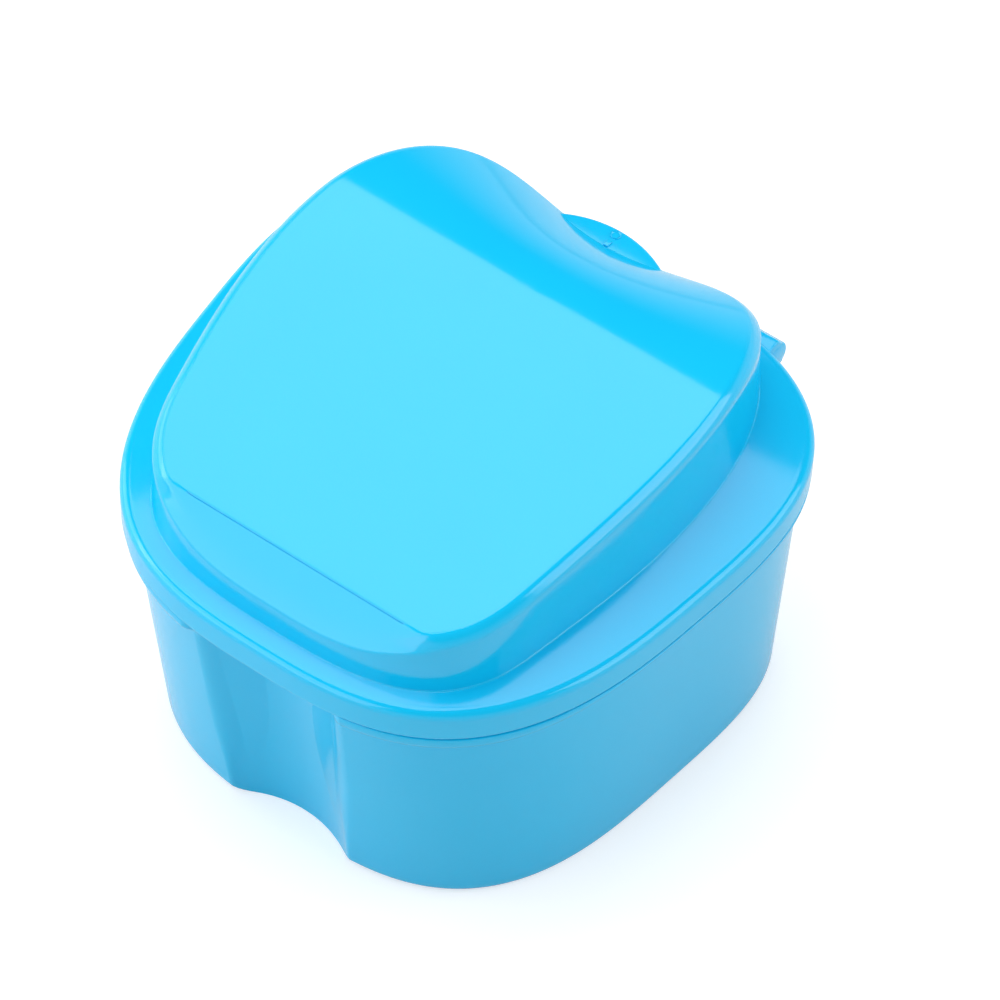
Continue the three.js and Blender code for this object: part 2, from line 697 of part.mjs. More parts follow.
// All slots of the basket's floor and wall.
function basketSlots() {
  const settings = { depth: basketWall + overrun, bevelEnabled: false, curveSegments: slotEndSteps };
  const floorSlot = new THREE.ExtrudeGeometry(slotShape(slotWidth, floorSlotLength), settings);
  floorSlot.rotateZ(Math.PI / 2);
  const depth = wall + ribDepth + basketClearance + basketWall + basketFootRadius;
  const room = inset(tubPlanAt(basketFloorHeight), depth);
  const roomHalf = Math.max(...room.map(([x]) => x));
  const roomRear = Math.max(...room.map(([, y]) => y));
  let slots = null;
  for (let row = 0; row < floorSlotRows; row += 1) {
    for (let column = 0; column < floorSlotColumns; column += 1) {
      const x = (column - (floorSlotColumns - 1) / 2) * floorSlotColumnPitch;
      const y = (row - (floorSlotRows - 1) / 2) * floorSlotRowPitch;
      const farX = Math.abs(x) + floorSlotLength / 2;
      const fits = (farX / roomHalf) ** tubRearPower + (Math.abs(y) / roomRear) ** tubRearPower < 1;
      const clear = Math.hypot(Math.max(0, Math.abs(x) - floorSlotLength / 2), y - scallopCentre)
        > scallopRadius + depth + slotWidth;
      if (!fits || !clear) continue;
      const cut = solid(floorSlot.clone().translate(x, y, basketFloorHeight - overrun / 2));
      slots = slots ? slots.add(cut) : cut;
    }
  }
  const wallRun = { ...settings, depth: wall + ribDepth + basketWall + overrun };
  const wallSlot = new THREE.ExtrudeGeometry(slotShape(slotWidth, wallSlotHeight), wallRun);
  wallSlot.rotateX(Math.PI / 2);
  const around = inset(tubPlanAt(wallSlotFoot), wall + ribDepth + basketClearance + basketWall / 2);
  for (let i = 0; i < wallSlots; i += 1) {
    const at = (i + 1 / 2) * outlineSteps / wallSlots;
    const share = at - Math.floor(at);
    const [a, b] = [around[Math.floor(at)], around[(Math.floor(at) + 1) % outlineSteps]];
    const [x, y] = [a[0] + (b[0] - a[0]) * share, a[1] + (b[1] - a[1]) * share];
    if (Math.hypot(x, y - scallopCentre) < scallopRadius + depth + slotWidth) continue;
    const cut = wallSlot.clone();
    cut.translate(0, wallRun.depth / 2, wallSlotFoot + wallSlotHeight / 2);
    cut.rotateZ(Math.atan2(b[1] - a[1], b[0] - a[0]));
    cut.translate(x, y, 0);
    slots = slots.add(solid(cut));
  }
  return slots;
}

const bluePlastic = { roughness: 0.22, metalness: 0 };
const denture = new THREE.Group();
denture.name = 'denture_case';
denture.add(pieceOf('tub', tubShell(), { color: 0x46b6e4, ...bluePlastic }));
denture.add(pieceOf('lid', lidShell(), { color: 0x55cbf6, ...bluePlastic }));
denture.add(pieceOf('strainer_basket', basketShell(), { color: 0x9fdcf5, ...bluePlastic }));

export default denture;
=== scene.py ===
"""Looks of a small lidded case for a denture: a tapered tub with a finger scallop, a lid with a wedge
shaped hood hinged along the rear, and a strainer basket inside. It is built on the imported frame, in
metres, +Z up, +X to the right along the front, +Y towards the hinge."""

import logging
import math
from collections.abc import Callable, Sequence
from dataclasses import dataclass, field
from enum import Enum

import bmesh
import bpy
from mathutils import Matrix, Vector
from mathutils.bvhtree import BVHTree

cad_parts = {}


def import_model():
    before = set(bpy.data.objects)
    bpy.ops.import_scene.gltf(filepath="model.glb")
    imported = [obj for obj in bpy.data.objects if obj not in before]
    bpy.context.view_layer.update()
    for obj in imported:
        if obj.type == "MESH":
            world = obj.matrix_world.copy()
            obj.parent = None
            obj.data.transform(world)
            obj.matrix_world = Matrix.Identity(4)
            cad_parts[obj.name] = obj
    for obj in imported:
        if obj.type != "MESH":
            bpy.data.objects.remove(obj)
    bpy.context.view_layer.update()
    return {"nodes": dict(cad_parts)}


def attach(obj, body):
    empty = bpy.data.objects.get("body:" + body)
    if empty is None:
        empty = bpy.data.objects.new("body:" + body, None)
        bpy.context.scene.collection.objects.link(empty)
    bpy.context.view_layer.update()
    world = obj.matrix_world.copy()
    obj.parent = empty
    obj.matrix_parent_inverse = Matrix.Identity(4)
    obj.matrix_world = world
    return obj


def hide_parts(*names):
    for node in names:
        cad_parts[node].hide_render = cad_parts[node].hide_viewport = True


log = logging.getLogger("denture_case")

MM = 0.001
Point2 = tuple[float, float]
Point3 = tuple[float, float, float]
Ring = list[Point3]
Height = Callable[[float, float], float]
Mesh = bmesh.types.BMesh
Piece = bpy.types.Object


class Side(Enum):
    """Which half of the case a mirrored piece stands on."""

    RIGHT = 1
    LEFT = -1


def smooth_step(value: float, low: float, high: float) -> float:
    """Eases from 0 at low to 1 at high."""
    share = min(1.0, max(0.0, (value - low) / (high - low)))
    return share * share * (3 - 2 * share)


def soft_max(a: float, b: float, blend: float) -> float:
    """The larger of two values, rounded over where they come within blend of each other."""
    overlap = max(0.0, blend - abs(a - b)) / blend
    return max(a, b) + overlap * overlap * blend / 4


@dataclass(frozen=True)
class PlanCurve:
    """A rounded square outline with bowed sides, narrower in front than at the rear, in millimetres."""

    width: float
    front: float
    rear: float
    waist: float
    front_power: float
    rear_power: float
    flare_share: float

    def _raw(self, turn: float) -> Point2:
        """A point of the outline for a half width of 1.

        Args:
            turn: Share of a full turn, from the middle of the front, anticlockwise.

        Returns:
            Its place across, as a share, and along, in millimetres.
        """
        angle = 2 * math.pi * turn - math.pi / 2
        c, s = math.cos(angle), math.sin(angle)
        power = self.front_power if s < 0 else self.rear_power
        reach = self.waist - self.front if s < 0 else self.rear - self.waist
        along = math.copysign(abs(s) ** (2 / power), s)
        flare = 1 + self.flare_share * along * reach / ((self.rear - self.front) / 2)
        return math.copysign(abs(c) ** (2 / power), c) * flare, self.waist + reach * along

    def points(self, shares: Sequence[float]) -> list[Point2]:
        """Points of the outline at shares of its length.

        Args:
            shares: Shares of the way round, from the middle of the front.

        Returns:
            One point for each share.
        """
        count = 3600
        raw = [self._raw(i / count) for i in range(count + 1)]
        scale = self.width / 2 / max(x for x, _ in raw)
        dense = [(x * scale, y) for x, y in raw]
        run = [0.0]
        for (ax, ay), (bx, by) in zip(dense, dense[1:]):
            run.append(run[-1] + math.hypot(bx - ax, by - ay))
        found: list[Point2] = []
        at = 0
        for share in shares:
            goal = share * run[-1]
            while at < count - 1 and run[at + 1] < goal:
                at += 1
            part = (goal - run[at]) / max(1e-9, run[at + 1] - run[at])
            (ax, ay), (bx, by) = dense[at], dense[at + 1]
            found.append((ax + (bx - ax) * part, ay + (by - ay) * part))
        return found


def inset(points: Sequence[Point2], distance: float) -> list[Point2]:
    """Moves an outline inwards along its own normals.

    Args:
        points: The outline, anticlockwise.
        distance: How far inwards, in millimetres; outwards where it is negative.

    Returns:
        The moved outline.
    """
    moved = []
    count = len(points)
    for i, (x, y) in enumerate(points):
        bx, by = points[i - 1]
        ax, ay = points[(i + 1) % count]
        run = math.hypot(ax - bx, ay - by)
        moved.append((x - (ay - by) / run * distance, y - (bx - ax) / run * distance))
    return moved


def between(low: Sequence[Point2], high: Sequence[Point2], share: float) -> list[Point2]:
    """Blends two outlines point by point."""
    return [(a[0] + (b[0] - a[0]) * share, a[1] + (b[1] - a[1]) * share) for a, b in zip(low, high)]


def raised(points: Sequence[Point2], height: float | Height) -> Ring:
    """Gives an outline its height, one for all of it or one that depends on the place."""
    if callable(height):
        return [(x, y, height(x, y)) for x, y in points]
    return [(x, y, height) for x, y in points]


def quarter(steps: int) -> list[tuple[float, float]]:
    """Sine and cosine along a quarter turn, both ends included."""
    turns = [math.pi / 2 * i / steps for i in range(steps + 1)]
    return [(math.sin(t), math.cos(t)) for t in turns]


class Workshop:
    """Makes finished mesh objects from bmesh work."""

    @staticmethod
    def skin(rings: Sequence[Ring], caps: bool = True) -> Mesh:
        """Draws a closed outline through a row of rings.

        Args:
            rings: Rings of equally many points, in millimetres.
            caps: Whether the first and last ring are filled.

        Returns:
            The skin as a bmesh, in metres.
        """
        bm = bmesh.new()
        column = bm.verts.layers.int.new("column")
        first = []
        for i, point in enumerate(rings[0]):
            vert = bm.verts.new(Vector(point) * MM)
            vert[column] = i
            first.append(vert)
        edges = [bm.edges.new((a, b)) for a, b in zip(first, first[1:] + first[:1])]
        if caps:
            bmesh.ops.contextual_create(bm, geom=edges)
        for ring in rings[1:]:
            made = bmesh.ops.extrude_edge_only(bm, edges=edges)["geom"]
            verts = {g for g in made if isinstance(g, bmesh.types.BMVert)}
            for vert in verts:
                vert.co = Vector(ring[vert[column]]) * MM
            edges = [g for g in made if isinstance(g, bmesh.types.BMEdge) and set(g.verts) <= verts]
        if caps:
            bmesh.ops.contextual_create(bm, geom=edges)
        bmesh.ops.remove_doubles(bm, verts=bm.verts, dist=1e-7)
        bmesh.ops.dissolve_degenerate(bm, dist=1e-7, edges=bm.edges)
        bmesh.ops.recalc_face_normals(bm, faces=bm.faces)
        return bm

    @staticmethod
    def rounded(bm: Mesh, edges: Sequence[bmesh.types.BMEdge], offset: float, segments: int,
                clamp: bool = False) -> None:
        """Rounds edges of a bmesh.

        Args:
            bm: The bmesh.
            edges: Its edges to round.
            offset: How far the rounding reaches, in millimetres.
            segments: Faces across the rounding.
            clamp: Whether roundings stop where they would meet.
        """
        bmesh.ops.bevel(bm, geom=list(edges), offset=offset * MM, segments=segments, affect="EDGES",
                        profile=0.5, material=-1, clamp_overlap=clamp)

    @staticmethod
    def shifted(bm: Mesh, way: Point3) -> Mesh:
        """Moves a bmesh by millimetres and hands it back."""
        bmesh.ops.translate(bm, verts=bm.verts, vec=Vector(way) * MM)
        return bm

    @staticmethod
    def block(size: Point3, edge: float) -> Mesh:
        """A block round the origin with rounded edges, from its size in millimetres."""
        bm = bmesh.new()
        bmesh.ops.create_cube(bm, size=1.0)
        bmesh.ops.scale(bm, verts=bm.verts, vec=Vector(size) * MM)
        Workshop.rounded(bm, bm.edges, edge, 2)
        return bm

    @staticmethod
    def split_caps(bm: Mesh) -> None:
        """Splits the large end faces of a skin into triangles."""
        bmesh.ops.triangulate(bm, faces=[f for f in bm.faces if len(f.verts) > 4])

    @staticmethod
    def rod(radius: float, low: float, high: float, y: float, z: float, edge: float) -> Mesh:
        """A round rod along X with rounded end edges.

        Args:
            radius: Radius in millimetres.
            low: Place of one end along X.
            high: Place of the other end.
            y: Place of its axis.
            z: Height of its axis.
            edge: Rounding of the end edges.

        Returns:
            The rod as a bmesh, in metres.
        """
        bm = bmesh.new()
        length = abs(high - low)
        bmesh.ops.create_cone(bm, cap_ends=True, segments=48, radius1=radius * MM, radius2=radius * MM,
                              depth=length * MM)
        rims = [e for e in bm.edges if any(len(f.verts) > 4 for f in e.link_faces)]
        Workshop.rounded(bm, rims, edge, 3)
        bmesh.ops.rotate(bm, verts=bm.verts, cent=(0, 0, 0), matrix=Matrix.Rotation(math.pi / 2, 3, "Y"))
        return Workshop.shifted(bm, ((low + high) / 2, y, z))

    @staticmethod
    def plate(outline: Sequence[Point2], low: float, high: float, edge: float) -> Mesh:
        """A plate outlined in the YZ plane and thickened along X, with rounded edges.

        Args:
            outline: Corners as (y, z), in millimetres.
            low: One face's place along X.
            high: The other face's place.
            edge: Rounding of its edges.

        Returns:
            The plate as a bmesh, in metres.
        """
        bm = bmesh.new()
        verts = [bm.verts.new(Vector((min(low, high), y, z)) * MM) for y, z in outline]
        face = bm.faces.new(verts)
        made = bmesh.ops.extrude_face_region(bm, geom=[face])["geom"]
        moved = [g for g in made if isinstance(g, bmesh.types.BMVert)]
        bmesh.ops.translate(bm, verts=moved, vec=(abs(high - low) * MM, 0, 0))
        bmesh.ops.recalc_face_normals(bm, faces=bm.faces)
        Workshop.rounded(bm, bm.edges, edge, 3)
        return bm

    @staticmethod
    def joined(parts: Sequence[Mesh]) -> Mesh:
        """Puts several bmeshes into one and frees them."""
        whole = bmesh.new()
        for part in parts:
            mesh = bpy.data.meshes.new("part")
            part.to_mesh(mesh)
            part.free()
            whole.from_mesh(mesh)
            bpy.data.meshes.remove(mesh)
        return whole

    @staticmethod
    def finish(name: str, bm: Mesh, material: bpy.types.Material, crease: float = 50.0) -> Piece:
        """Turns a bmesh into a smooth shaded object at the origin.

        Args:
            name: Name of the object.
            bm: The shape, in metres. It is freed.
            material: Its finish.
            crease: Edges that turn by more degrees than this stay sharp.

        Returns:
            The object, linked to the scene.
        """
        for face in bm.faces:
            face.smooth = True
        limit = math.radians(crease)
        for edge in bm.edges:
            edge.smooth = len(edge.link_faces) != 2 or edge.calc_face_angle(0.0) < limit
        mesh = bpy.data.meshes.new(name)
        bm.to_mesh(mesh)
        bm.free()
        mesh.materials.append(material)
        obj = bpy.data.objects.new(name, mesh)
        bpy.context.scene.collection.objects.link(obj)
        return obj


class SurfaceGroups:
    """Shader node groups that several finishes share."""

    @staticmethod
    def moulded_skin() -> bpy.types.ShaderNodeTree:
        """The small unevenness of a glossy moulded face: soft sink waves and a fine haze.

        Returns:
            A group with inputs for colour, scale and gloss, and outputs for colour, roughness and height.
        """
        name = "moulded_skin"
        if name in bpy.data.node_groups:
            return bpy.data.node_groups[name]
        tree = bpy.data.node_groups.new(name, "ShaderNodeTree")
        put = tree.interface.new_socket
        for label, value in (
            ("Colour", (0.01, 0.5, 0.9, 1)), ("Deep Colour", (0.01, 0.4, 0.8, 1)),
            ("Wave Scale", 60.0), ("Haze Scale", 420.0), ("Gloss", 0.12), ("Haze", 0.05),
        ):
            kind = "NodeSocketColor" if isinstance(value, tuple) else "NodeSocketFloat"
            put(name=label, in_out="INPUT", socket_type=kind).default_value = value
        for label, kind in (("Colour", "Color"), ("Roughness", "Float"), ("Height", "Float")):
            put(name=label, in_out="OUTPUT", socket_type=f"NodeSocket{kind}")
        nodes, links = tree.nodes, tree.links
        entry = nodes.new("NodeGroupInput")
        leave = nodes.new("NodeGroupOutput")
        place = nodes.new("ShaderNodeTexCoord")
        wave, haze = nodes.new("ShaderNodeTexNoise"), nodes.new("ShaderNodeTexNoise")
        for noise, detail, roughness, scale in ((wave, 1.0, 0.4, "Wave Scale"),
                                                (haze, 5.0, 0.6, "Haze Scale")):
            noise.inputs["Detail"].default_value = detail
            noise.inputs["Roughness"].default_value = roughness
            links.new(place.outputs["Object"], noise.inputs["Vector"])
            links.new(entry.outputs[scale], noise.inputs["Scale"])
        mix = nodes.new("ShaderNodeMix")
        mix.data_type = "RGBA"
        span, blend = nodes.new("ShaderNodeMath"), nodes.new("ShaderNodeMath")
        span.operation = blend.operation = "MULTIPLY_ADD"
        blend.inputs[1].default_value = 0.04
        for source, target in (
            (wave.outputs["Fac"], mix.inputs["Factor"]),
            (entry.outputs["Colour"], mix.inputs["A"]),
            (entry.outputs["Deep Colour"], mix.inputs["B"]),
            (mix.outputs["Result"], leave.inputs["Colour"]),
            (haze.outputs["Fac"], span.inputs[0]),
            (entry.outputs["Haze"], span.inputs[1]),
            (entry.outputs["Gloss"], span.inputs[2]),
            (span.outputs["Value"], leave.inputs["Roughness"]),
            (haze.outputs["Fac"], blend.inputs[0]),
            (wave.outputs["Fac"], blend.inputs[2]),
            (blend.outputs["Value"], leave.inputs["Height"]),
        ):
            links.new(source, target)
        return tree


@dataclass(frozen=True)
class MouldedPlastic:
    """Glossy coloured moulded plastic, in two close shades that drift into each other."""

    name: str
    colour: tuple[float, float, float]
    deep_colour: tuple[float, float, float]
    gloss: float = 0.08
    ior: float = 1.5
    haze: float = 0.05
    wave: float = 0.00006

    def material(self) -> bpy.types.Material:
        """Builds the material, once.

        Returns:
            The material under this finish's name.
        """
        if self.name in bpy.data.materials:
            return bpy.data.materials[self.name]
        made = bpy.data.materials.new(self.name)
        made.use_nodes = True
        nodes, links = made.node_tree.nodes, made.node_tree.links
        shader = nodes["Principled BSDF"]
        skin = nodes.new("ShaderNodeGroup")
        skin.node_tree = SurfaceGroups.moulded_skin()
        for label, value in (("Colour", (*self.colour, 1)), ("Deep Colour", (*self.deep_colour, 1)),
                             ("Gloss", self.gloss), ("Haze", self.haze)):
            skin.inputs[label].default_value = value
        links.new(skin.outputs["Colour"], shader.inputs["Base Color"])
        links.new(skin.outputs["Roughness"], shader.inputs["Roughness"])
        bump = nodes.new("ShaderNodeBump")
        bump.inputs["Strength"].default_value = 1.0
        bump.inputs["Distance"].default_value = self.wave
        links.new(skin.outputs["Height"], bump.inputs["Height"])
        links.new(bump.outputs["Normal"], shader.inputs["Normal"])
        shader.inputs["IOR"].default_value = self.ior
        shader.inputs["Specular IOR Level"].default_value = 0.5
        return made


@dataclass
class LidForm:
    """Sizes of the lid and the outlines that follow from them, in millimetres."""

    height: float = 70.0
    wall: float = 1.6
    flange_top: float = 51.6
    flange_rise: float = 0.8
    flange_slope: float = 0.176
    foot_fillet: float = 0.25
    flange_thickness: float = 1.9
    edge_radius: float = 1.5
    skirt_bottom: float = 46.0
    skirt_edge: float = 0.35
    hood_draft: float = 0.4
    crease_at: float = -35.7
    crease_height: float = 62.3
    facet_slope: float = 6.5 / 6
    crest_at: float = 16.8
    rear_round_foot: float = 53.5
    rear_round_power: float = 1.72
    wall_top_round: float = 0.16
    band_width: float = 1.6
    band_drop: float = 1.5
    band_chamfer: float = 0.36
    band_groove: float = 0.03
    facet_drop: float = 0.3
    facet_blend: float = 2.8
    crease_inset: float = 2.8
    crease_groove: float = 0.32
    crease_groove_half: float = 0.1
    dip_depth: float = 7.9
    dip_half_width: float = 36.0
    relief_half: float = 20.3
    relief_top: float = 50.1
    skirt: PlanCurve = field(default_factory=lambda: PlanCurve(90.0, -45.0, 45.0, 0.0, 2.9, 2.95, 0.12))
    hood: PlanCurve = field(default_factory=lambda: PlanCurve(71.4, -41.3, 48.5, -21.5, 3.0, 2.35, 0.28))

    def dipped(self, point: Point3) -> Point3:
        """Draws a point behind the crest forwards, most in the middle of the hood's rear."""
        x, y, z = point
        across = min(1.0, abs(x) / self.dip_half_width)
        depth = self.dip_depth * (1 + math.cos(math.pi * across)) / 2
        return x, y - depth * smooth_step(y, self.crest_at, self.hood.rear), z

    def roof_profile(self, thickness: float) -> list[Point2]:
        """The roof seen from the side, as (y, z), moved inwards by a thickness.

        Args:
            thickness: How far the profile is moved towards the inside.

        Returns:
            Its points from the front to the rear.
        """
        run = self.crest_at - self.crease_at
        gain = self.height - self.crease_height
        start = self.hood.front - 3
        points = [(start, self.crease_height + (start - self.crease_at) * self.facet_slope)]
        for i in range(241):
            u = i / 240
            points.append((self.crease_at + u * run, self.crease_height + gain * (1 - (1 - u) ** 2)))
        reach = self.hood.rear + self.wall / 2 - self.crest_at
        drop = self.height - self.rear_round_foot
        power = self.rear_round_power
        for i in range(1, 241):
            turn = math.pi / 2 * i / 240
            out = math.sin(turn) ** (2 / power)
            down = 1 - max(0.0, math.cos(turn)) ** (2 / power)
            points.append((self.crest_at + out * reach, self.height - down * drop))
        moved = []
        for i, (y, z) in enumerate(points):
            by, bz = points[max(0, i - 1)]
            ay, az = points[min(len(points) - 1, i + 1)]
            length = math.hypot(ay - by, az - bz)
            moved.append((y + (az - bz) / length * thickness, z - (ay - by) / length * thickness))
        return moved

    def roof_height(self, profile: Sequence[Point2]) -> Height:
        """A function that gives the roof's height at a place, before the dip.

        Args:
            profile: The roof's side profile.

        Returns:
            The function, of the place across and along.
        """

        def height(_x: float, y: float) -> float:
            """Height of the profile at y."""
            low, high = 0, len(profile) - 1
            if y <= profile[0][0]:
                return profile[0][1]
            if y >= profile[-1][0]:
                return profile[-1][1]
            while high - low > 1:
                middle = (low + high) // 2
                if profile[middle][0] <= y:
                    low = middle
                else:
                    high = middle
            (y0, z0), (y1, z1) = profile[low], profile[high]
            return z0 + (z1 - z0) * (y - y0) / max(1e-9, y1 - y0)

        return height

    def columns(self, count: int) -> list[float]:
        """Shares of the way round at which the lid's rings have a point.

        Args:
            count: How many evenly spaced ones.

        Returns:
            All shares, those at the sides of the skirt's rear relief among them.
        """
        even = [i / count for i in range(count)]
        dense = [i / 7200 for i in range(7201)]
        across = self.skirt.points(dense)
        extra = []
        for (a, p), (b, q) in zip(zip(dense, across), zip(dense[1:], across[1:])):
            for goal in (self.relief_half, -self.relief_half):
                if p[1] > 0 and (p[0] - goal) * (q[0] - goal) <= 0 and p[0] != q[0]:
                    at = a + (b - a) * (goal - p[0]) / (q[0] - p[0])
                    extra += [at - 0.00012, at + 0.00012]
        kept = [s for s in even if all(abs(s - e) > 0.0008 for e in extra)]
        return sorted(kept + extra)


@dataclass(frozen=True)
class LedgeForm:
    """Sizes of the thumb ledge and of the marks on it, in millimetres."""

    radius: float = 17.5
    reach: float = 40.9
    top: float = 60.7
    edge: float = 0.6
    half_width: float = 12.0
    sunk: float = 0.7
    steps: int = 48
    gate_radius: float = 0.9
    gate_place: Point3 = (0, 39.6, 60.74)
    tab_size: Point3 = (0.8, 1.2, 0.5)
    tab_place: Point3 = (0, 37.55, 60.72)


@dataclass(frozen=True)
class HingeForm:
    """Places of the hinge, in millimetres, and how far it opens, in degrees."""

    y: float = 44.704
    z: float = 47.0
    open_angle: float = 110.0
    barrel_inner: float = 20.3
    barrel_outer: float = 25.7
    barrel_radius: float = 2.5
    web_top: float = 50.6
    web_inset: float = 0.06
    ear_inner: float = 17.6
    ear_outer: float = 20.0
    ear_radius: float = 2.1
    ear_root: float = 41.2
    peg_radius: float = 1.4
    peg_start: float = 18.8
    peg_end: float = 23.8


class Lid:
    """The lid: sloping flange with a skirt, wedge hood, thumb ledge and hinge barrels."""

    # Where rings lie across the edge band, from its outer edge, and across the plate, from its middle.
    BAND_SHARES = (0.0, 0.015, 0.045, 0.09, 0.17, 0.27, 0.38, 0.5, 0.62, 0.74, 0.85, 0.93, 0.975,
                   1.0, 1.03, 1.1)
    PLATE_SHARES = (0.985, 0.965, 0.94, 0.91, 0.88, 0.85, 0.815, 0.78, 0.74, 0.7, 0.655, 0.61, 0.56,
                    0.51, 0.455, 0.4, 0.34, 0.28, 0.21, 0.14, 0.07, 0.0)

    def __init__(self, form: LidForm, hinge: HingeForm, plastic: MouldedPlastic) -> None:
        """Keeps the sizes and the finish."""
        self.form = form
        self.ledge_form = LedgeForm()
        self.hinge = hinge
        self.plastic = plastic
        self.hood_tree: BVHTree | None = None

    def _front_share(self, y: float) -> float:
        """How far a place along counts as the roof's front part: 0 behind the crease, 1 before it."""
        return smooth_step(self.form.crease_at - 0.1 - y, 0.0, self.form.facet_blend)

    def _edge_fall(self, y: float) -> float:
        """How much lower than the roof the top of the hood's wall lies at a place along."""
        form, front = self.form, self._front_share(y)
        return form.band_drop * (1 - front) + form.facet_drop * front + form.wall_top_round

    def _band_rings(self, wall_top: list[Point2], height: Height) -> list[Ring]:
        """Rings of the band along the roof's edge, from the top of the hood's wall inwards.

        Args:
            wall_top: Outline at the top of the hood's wall.
            height: The roof's height at a place.

        Returns:
            Rings, the last ones just past the band's inner edge.
        """
        form = self.form
        rings = []
        for share in self.BAND_SHARES:
            left = max(0.0, 1 - share)
            fall = form.band_chamfer * left + (form.band_drop - form.band_chamfer) * left * left
            fall += form.band_groove * max(0.0, 1 - abs(share - 1.0) / 0.06)
            edge = form.wall_top_round * max(0.0, 1 - share / 0.09) ** 2
            # Before the crease the band runs out into one soft fall, as wide as the roof's rim.
            soft = form.facet_drop * max(0.0, 1 - share * form.band_width / form.crease_inset) ** 2

            def level(x: float, y: float, fall: float = fall, soft: float = soft,
                      edge: float = edge) -> float:
                """Height of this ring."""
                front = self._front_share(y)
                return height(x, y) - edge - fall * (1 - front) - soft * front

            rings.append(raised(inset(wall_top, share * form.band_width), level))
        return rings

    def _roof_rings(self, wall_top: list[Point2], profile: list[Point2], outside: bool) -> list[Ring]:
        """Rings of the roof from its outer edge to the middle of the crest.

        Args:
            wall_top: Outline at the top of the hood's wall.
            profile: The roof's side profile.
            outside: Whether it is the outer face, which has the edge band and the crease's groove.

        Returns:
            Rings, the last one drawn together to a point.
        """
        form = self.form
        height = form.roof_height(profile)
        if outside:
            rings = self._band_rings(wall_top, height)
        else:
            rings = [raised(inset(wall_top, share * form.band_width), height) for share in (0.0, 0.5, 1.0)]
        crease = inset(wall_top, form.crease_inset)
        start = form.band_width * (1.1 if outside else 1.0)
        inner_edge = inset(wall_top, start)
        for share in (0.2, 0.45, 0.7, 0.88, 1.0):
            reach = start + (form.crease_inset - start) * share
            soft = (form.facet_drop if outside else 0.0) * max(0.0, 1 - reach / form.crease_inset) ** 2
            rings.append(raised(between(inner_edge, crease, share),
                                lambda x, y, soft=soft: height(x, y) - soft * self._front_share(y)))

        def groove(x: float, y: float) -> float:
            """Height along the crease, sunk where the crease itself runs."""
            sunk = outside and abs(y - form.crease_at) < 1e-6
            return height(x, y) - (form.crease_groove if sunk else 0.0)

        # The facet's rings are drawn flat against the crease; two more keep the groove narrow on each side.
        for off in (-3.0, -1.0, 0.0, 1.0, 3.0):
            limit = form.crease_at + form.crease_groove_half * off
            ring = [(x, max(y, limit)) for x, y in crease]
            rings.append(raised(ring, height if off else groove))
        after = ring
        for share in self.PLATE_SHARES:
            ring = [(x * share, form.crest_at + (y - form.crest_at) * share) for x, y in after]
            rings.append(raised(ring, height))
        return rings

    def shell(self) -> Piece:
        """Builds the flange, skirt and hood as one skin, hollow from below.

        Returns:
            The lid's shell.
        """
        form = self.form
        dip = form.dipped
        columns = form.columns(360)
        skirt = form.skirt.points(columns)
        hood = form.hood.points(columns)
        inner_top = inset(hood, form.wall + form.hood_draft)
        under = self._roof_rings(inner_top, form.roof_profile(form.wall), False)
        rings: list[Ring] = [[dip(p) for p in ring] for ring in reversed(under)]
        ceiling = form.flange_top - form.flange_thickness
        # Down the inside of the hood to the flange's underside, and out to the skirt.
        inner_wall = [dip(p) for p in raised(inset(hood, form.wall), ceiling + form.flange_rise)]
        rings += [[(x, y, z + 0.4) for x, y, z in inner_wall], inner_wall]
        inner_skirt = inset(skirt, form.wall)
        rings.append([(a[0] + (b[0] - a[0]) * 0.08, a[1] + (b[1] - a[1]) * 0.08, ceiling + form.flange_rise)
                      for a, b in zip(inner_wall, inner_skirt)])
        for off, up in ((0.8, 0.06), (0.25, 0.0), (0.0, -0.25)):
            rings.append(raised(inset(inner_skirt, off), ceiling + up))
        rings += self._skirt_rings(skirt, inner_skirt)
        rings += self._hood_rings(hood, inset(skirt, form.edge_radius))
        rings = [self._relieved(ring) for ring in rings]
        bm = Workshop.skin(rings, caps=False)
        self.hood_tree = BVHTree.FromBMesh(bm)
        return Workshop.finish("lid_shell", bm, self.plastic.material(), crease=62)

    def _skirt_rings(self, skirt: list[Point2], inner_skirt: list[Point2]) -> list[Ring]:
        """Rings down the skirt's inside, round its lower edge and up to the flange's rounded rim.

        Args:
            skirt: The skirt's outside.
            inner_skirt: Its inside.

        Returns:
            The rings in that order.
        """
        form = self.form
        bottom, edge = form.skirt_bottom, form.skirt_edge
        rings = [raised(inner_skirt, bottom + 0.6), raised(inner_skirt, bottom + edge)]
        for s, c in quarter(4)[1:]:
            rings.append(raised(inset(inner_skirt, -edge * (1 - c)), bottom + edge * (1 - s)))
        for s, c in quarter(4):
            rings.append(raised(inset(skirt, edge * (1 - s)), bottom + edge * (1 - c)))
        top = form.flange_top - form.edge_radius
        rings += [raised(skirt, height) for height in (bottom + 0.6, bottom + 2.0, top - 0.3)]
        for s, c in quarter(8):
            rings.append(raised(inset(skirt, form.edge_radius * (1 - c)), top + form.edge_radius * s))
        return rings

    def _hood_rings(self, hood: list[Point2], rim: list[Point2]) -> list[Ring]:
        """Rings from the flange's rim up its slope, up the hood's wall and over the roof.

        Args:
            hood: Outline of the hood at its foot.
            rim: Outline of the flange's flat edge.

        Returns:
            The rings, the last one in the middle of the crest.
        """
        form = self.form
        dip = form.dipped
        fillet = form.foot_fillet
        foot = [dip(p)[:2] for p in raised(inset(hood, -fillet), 0)]
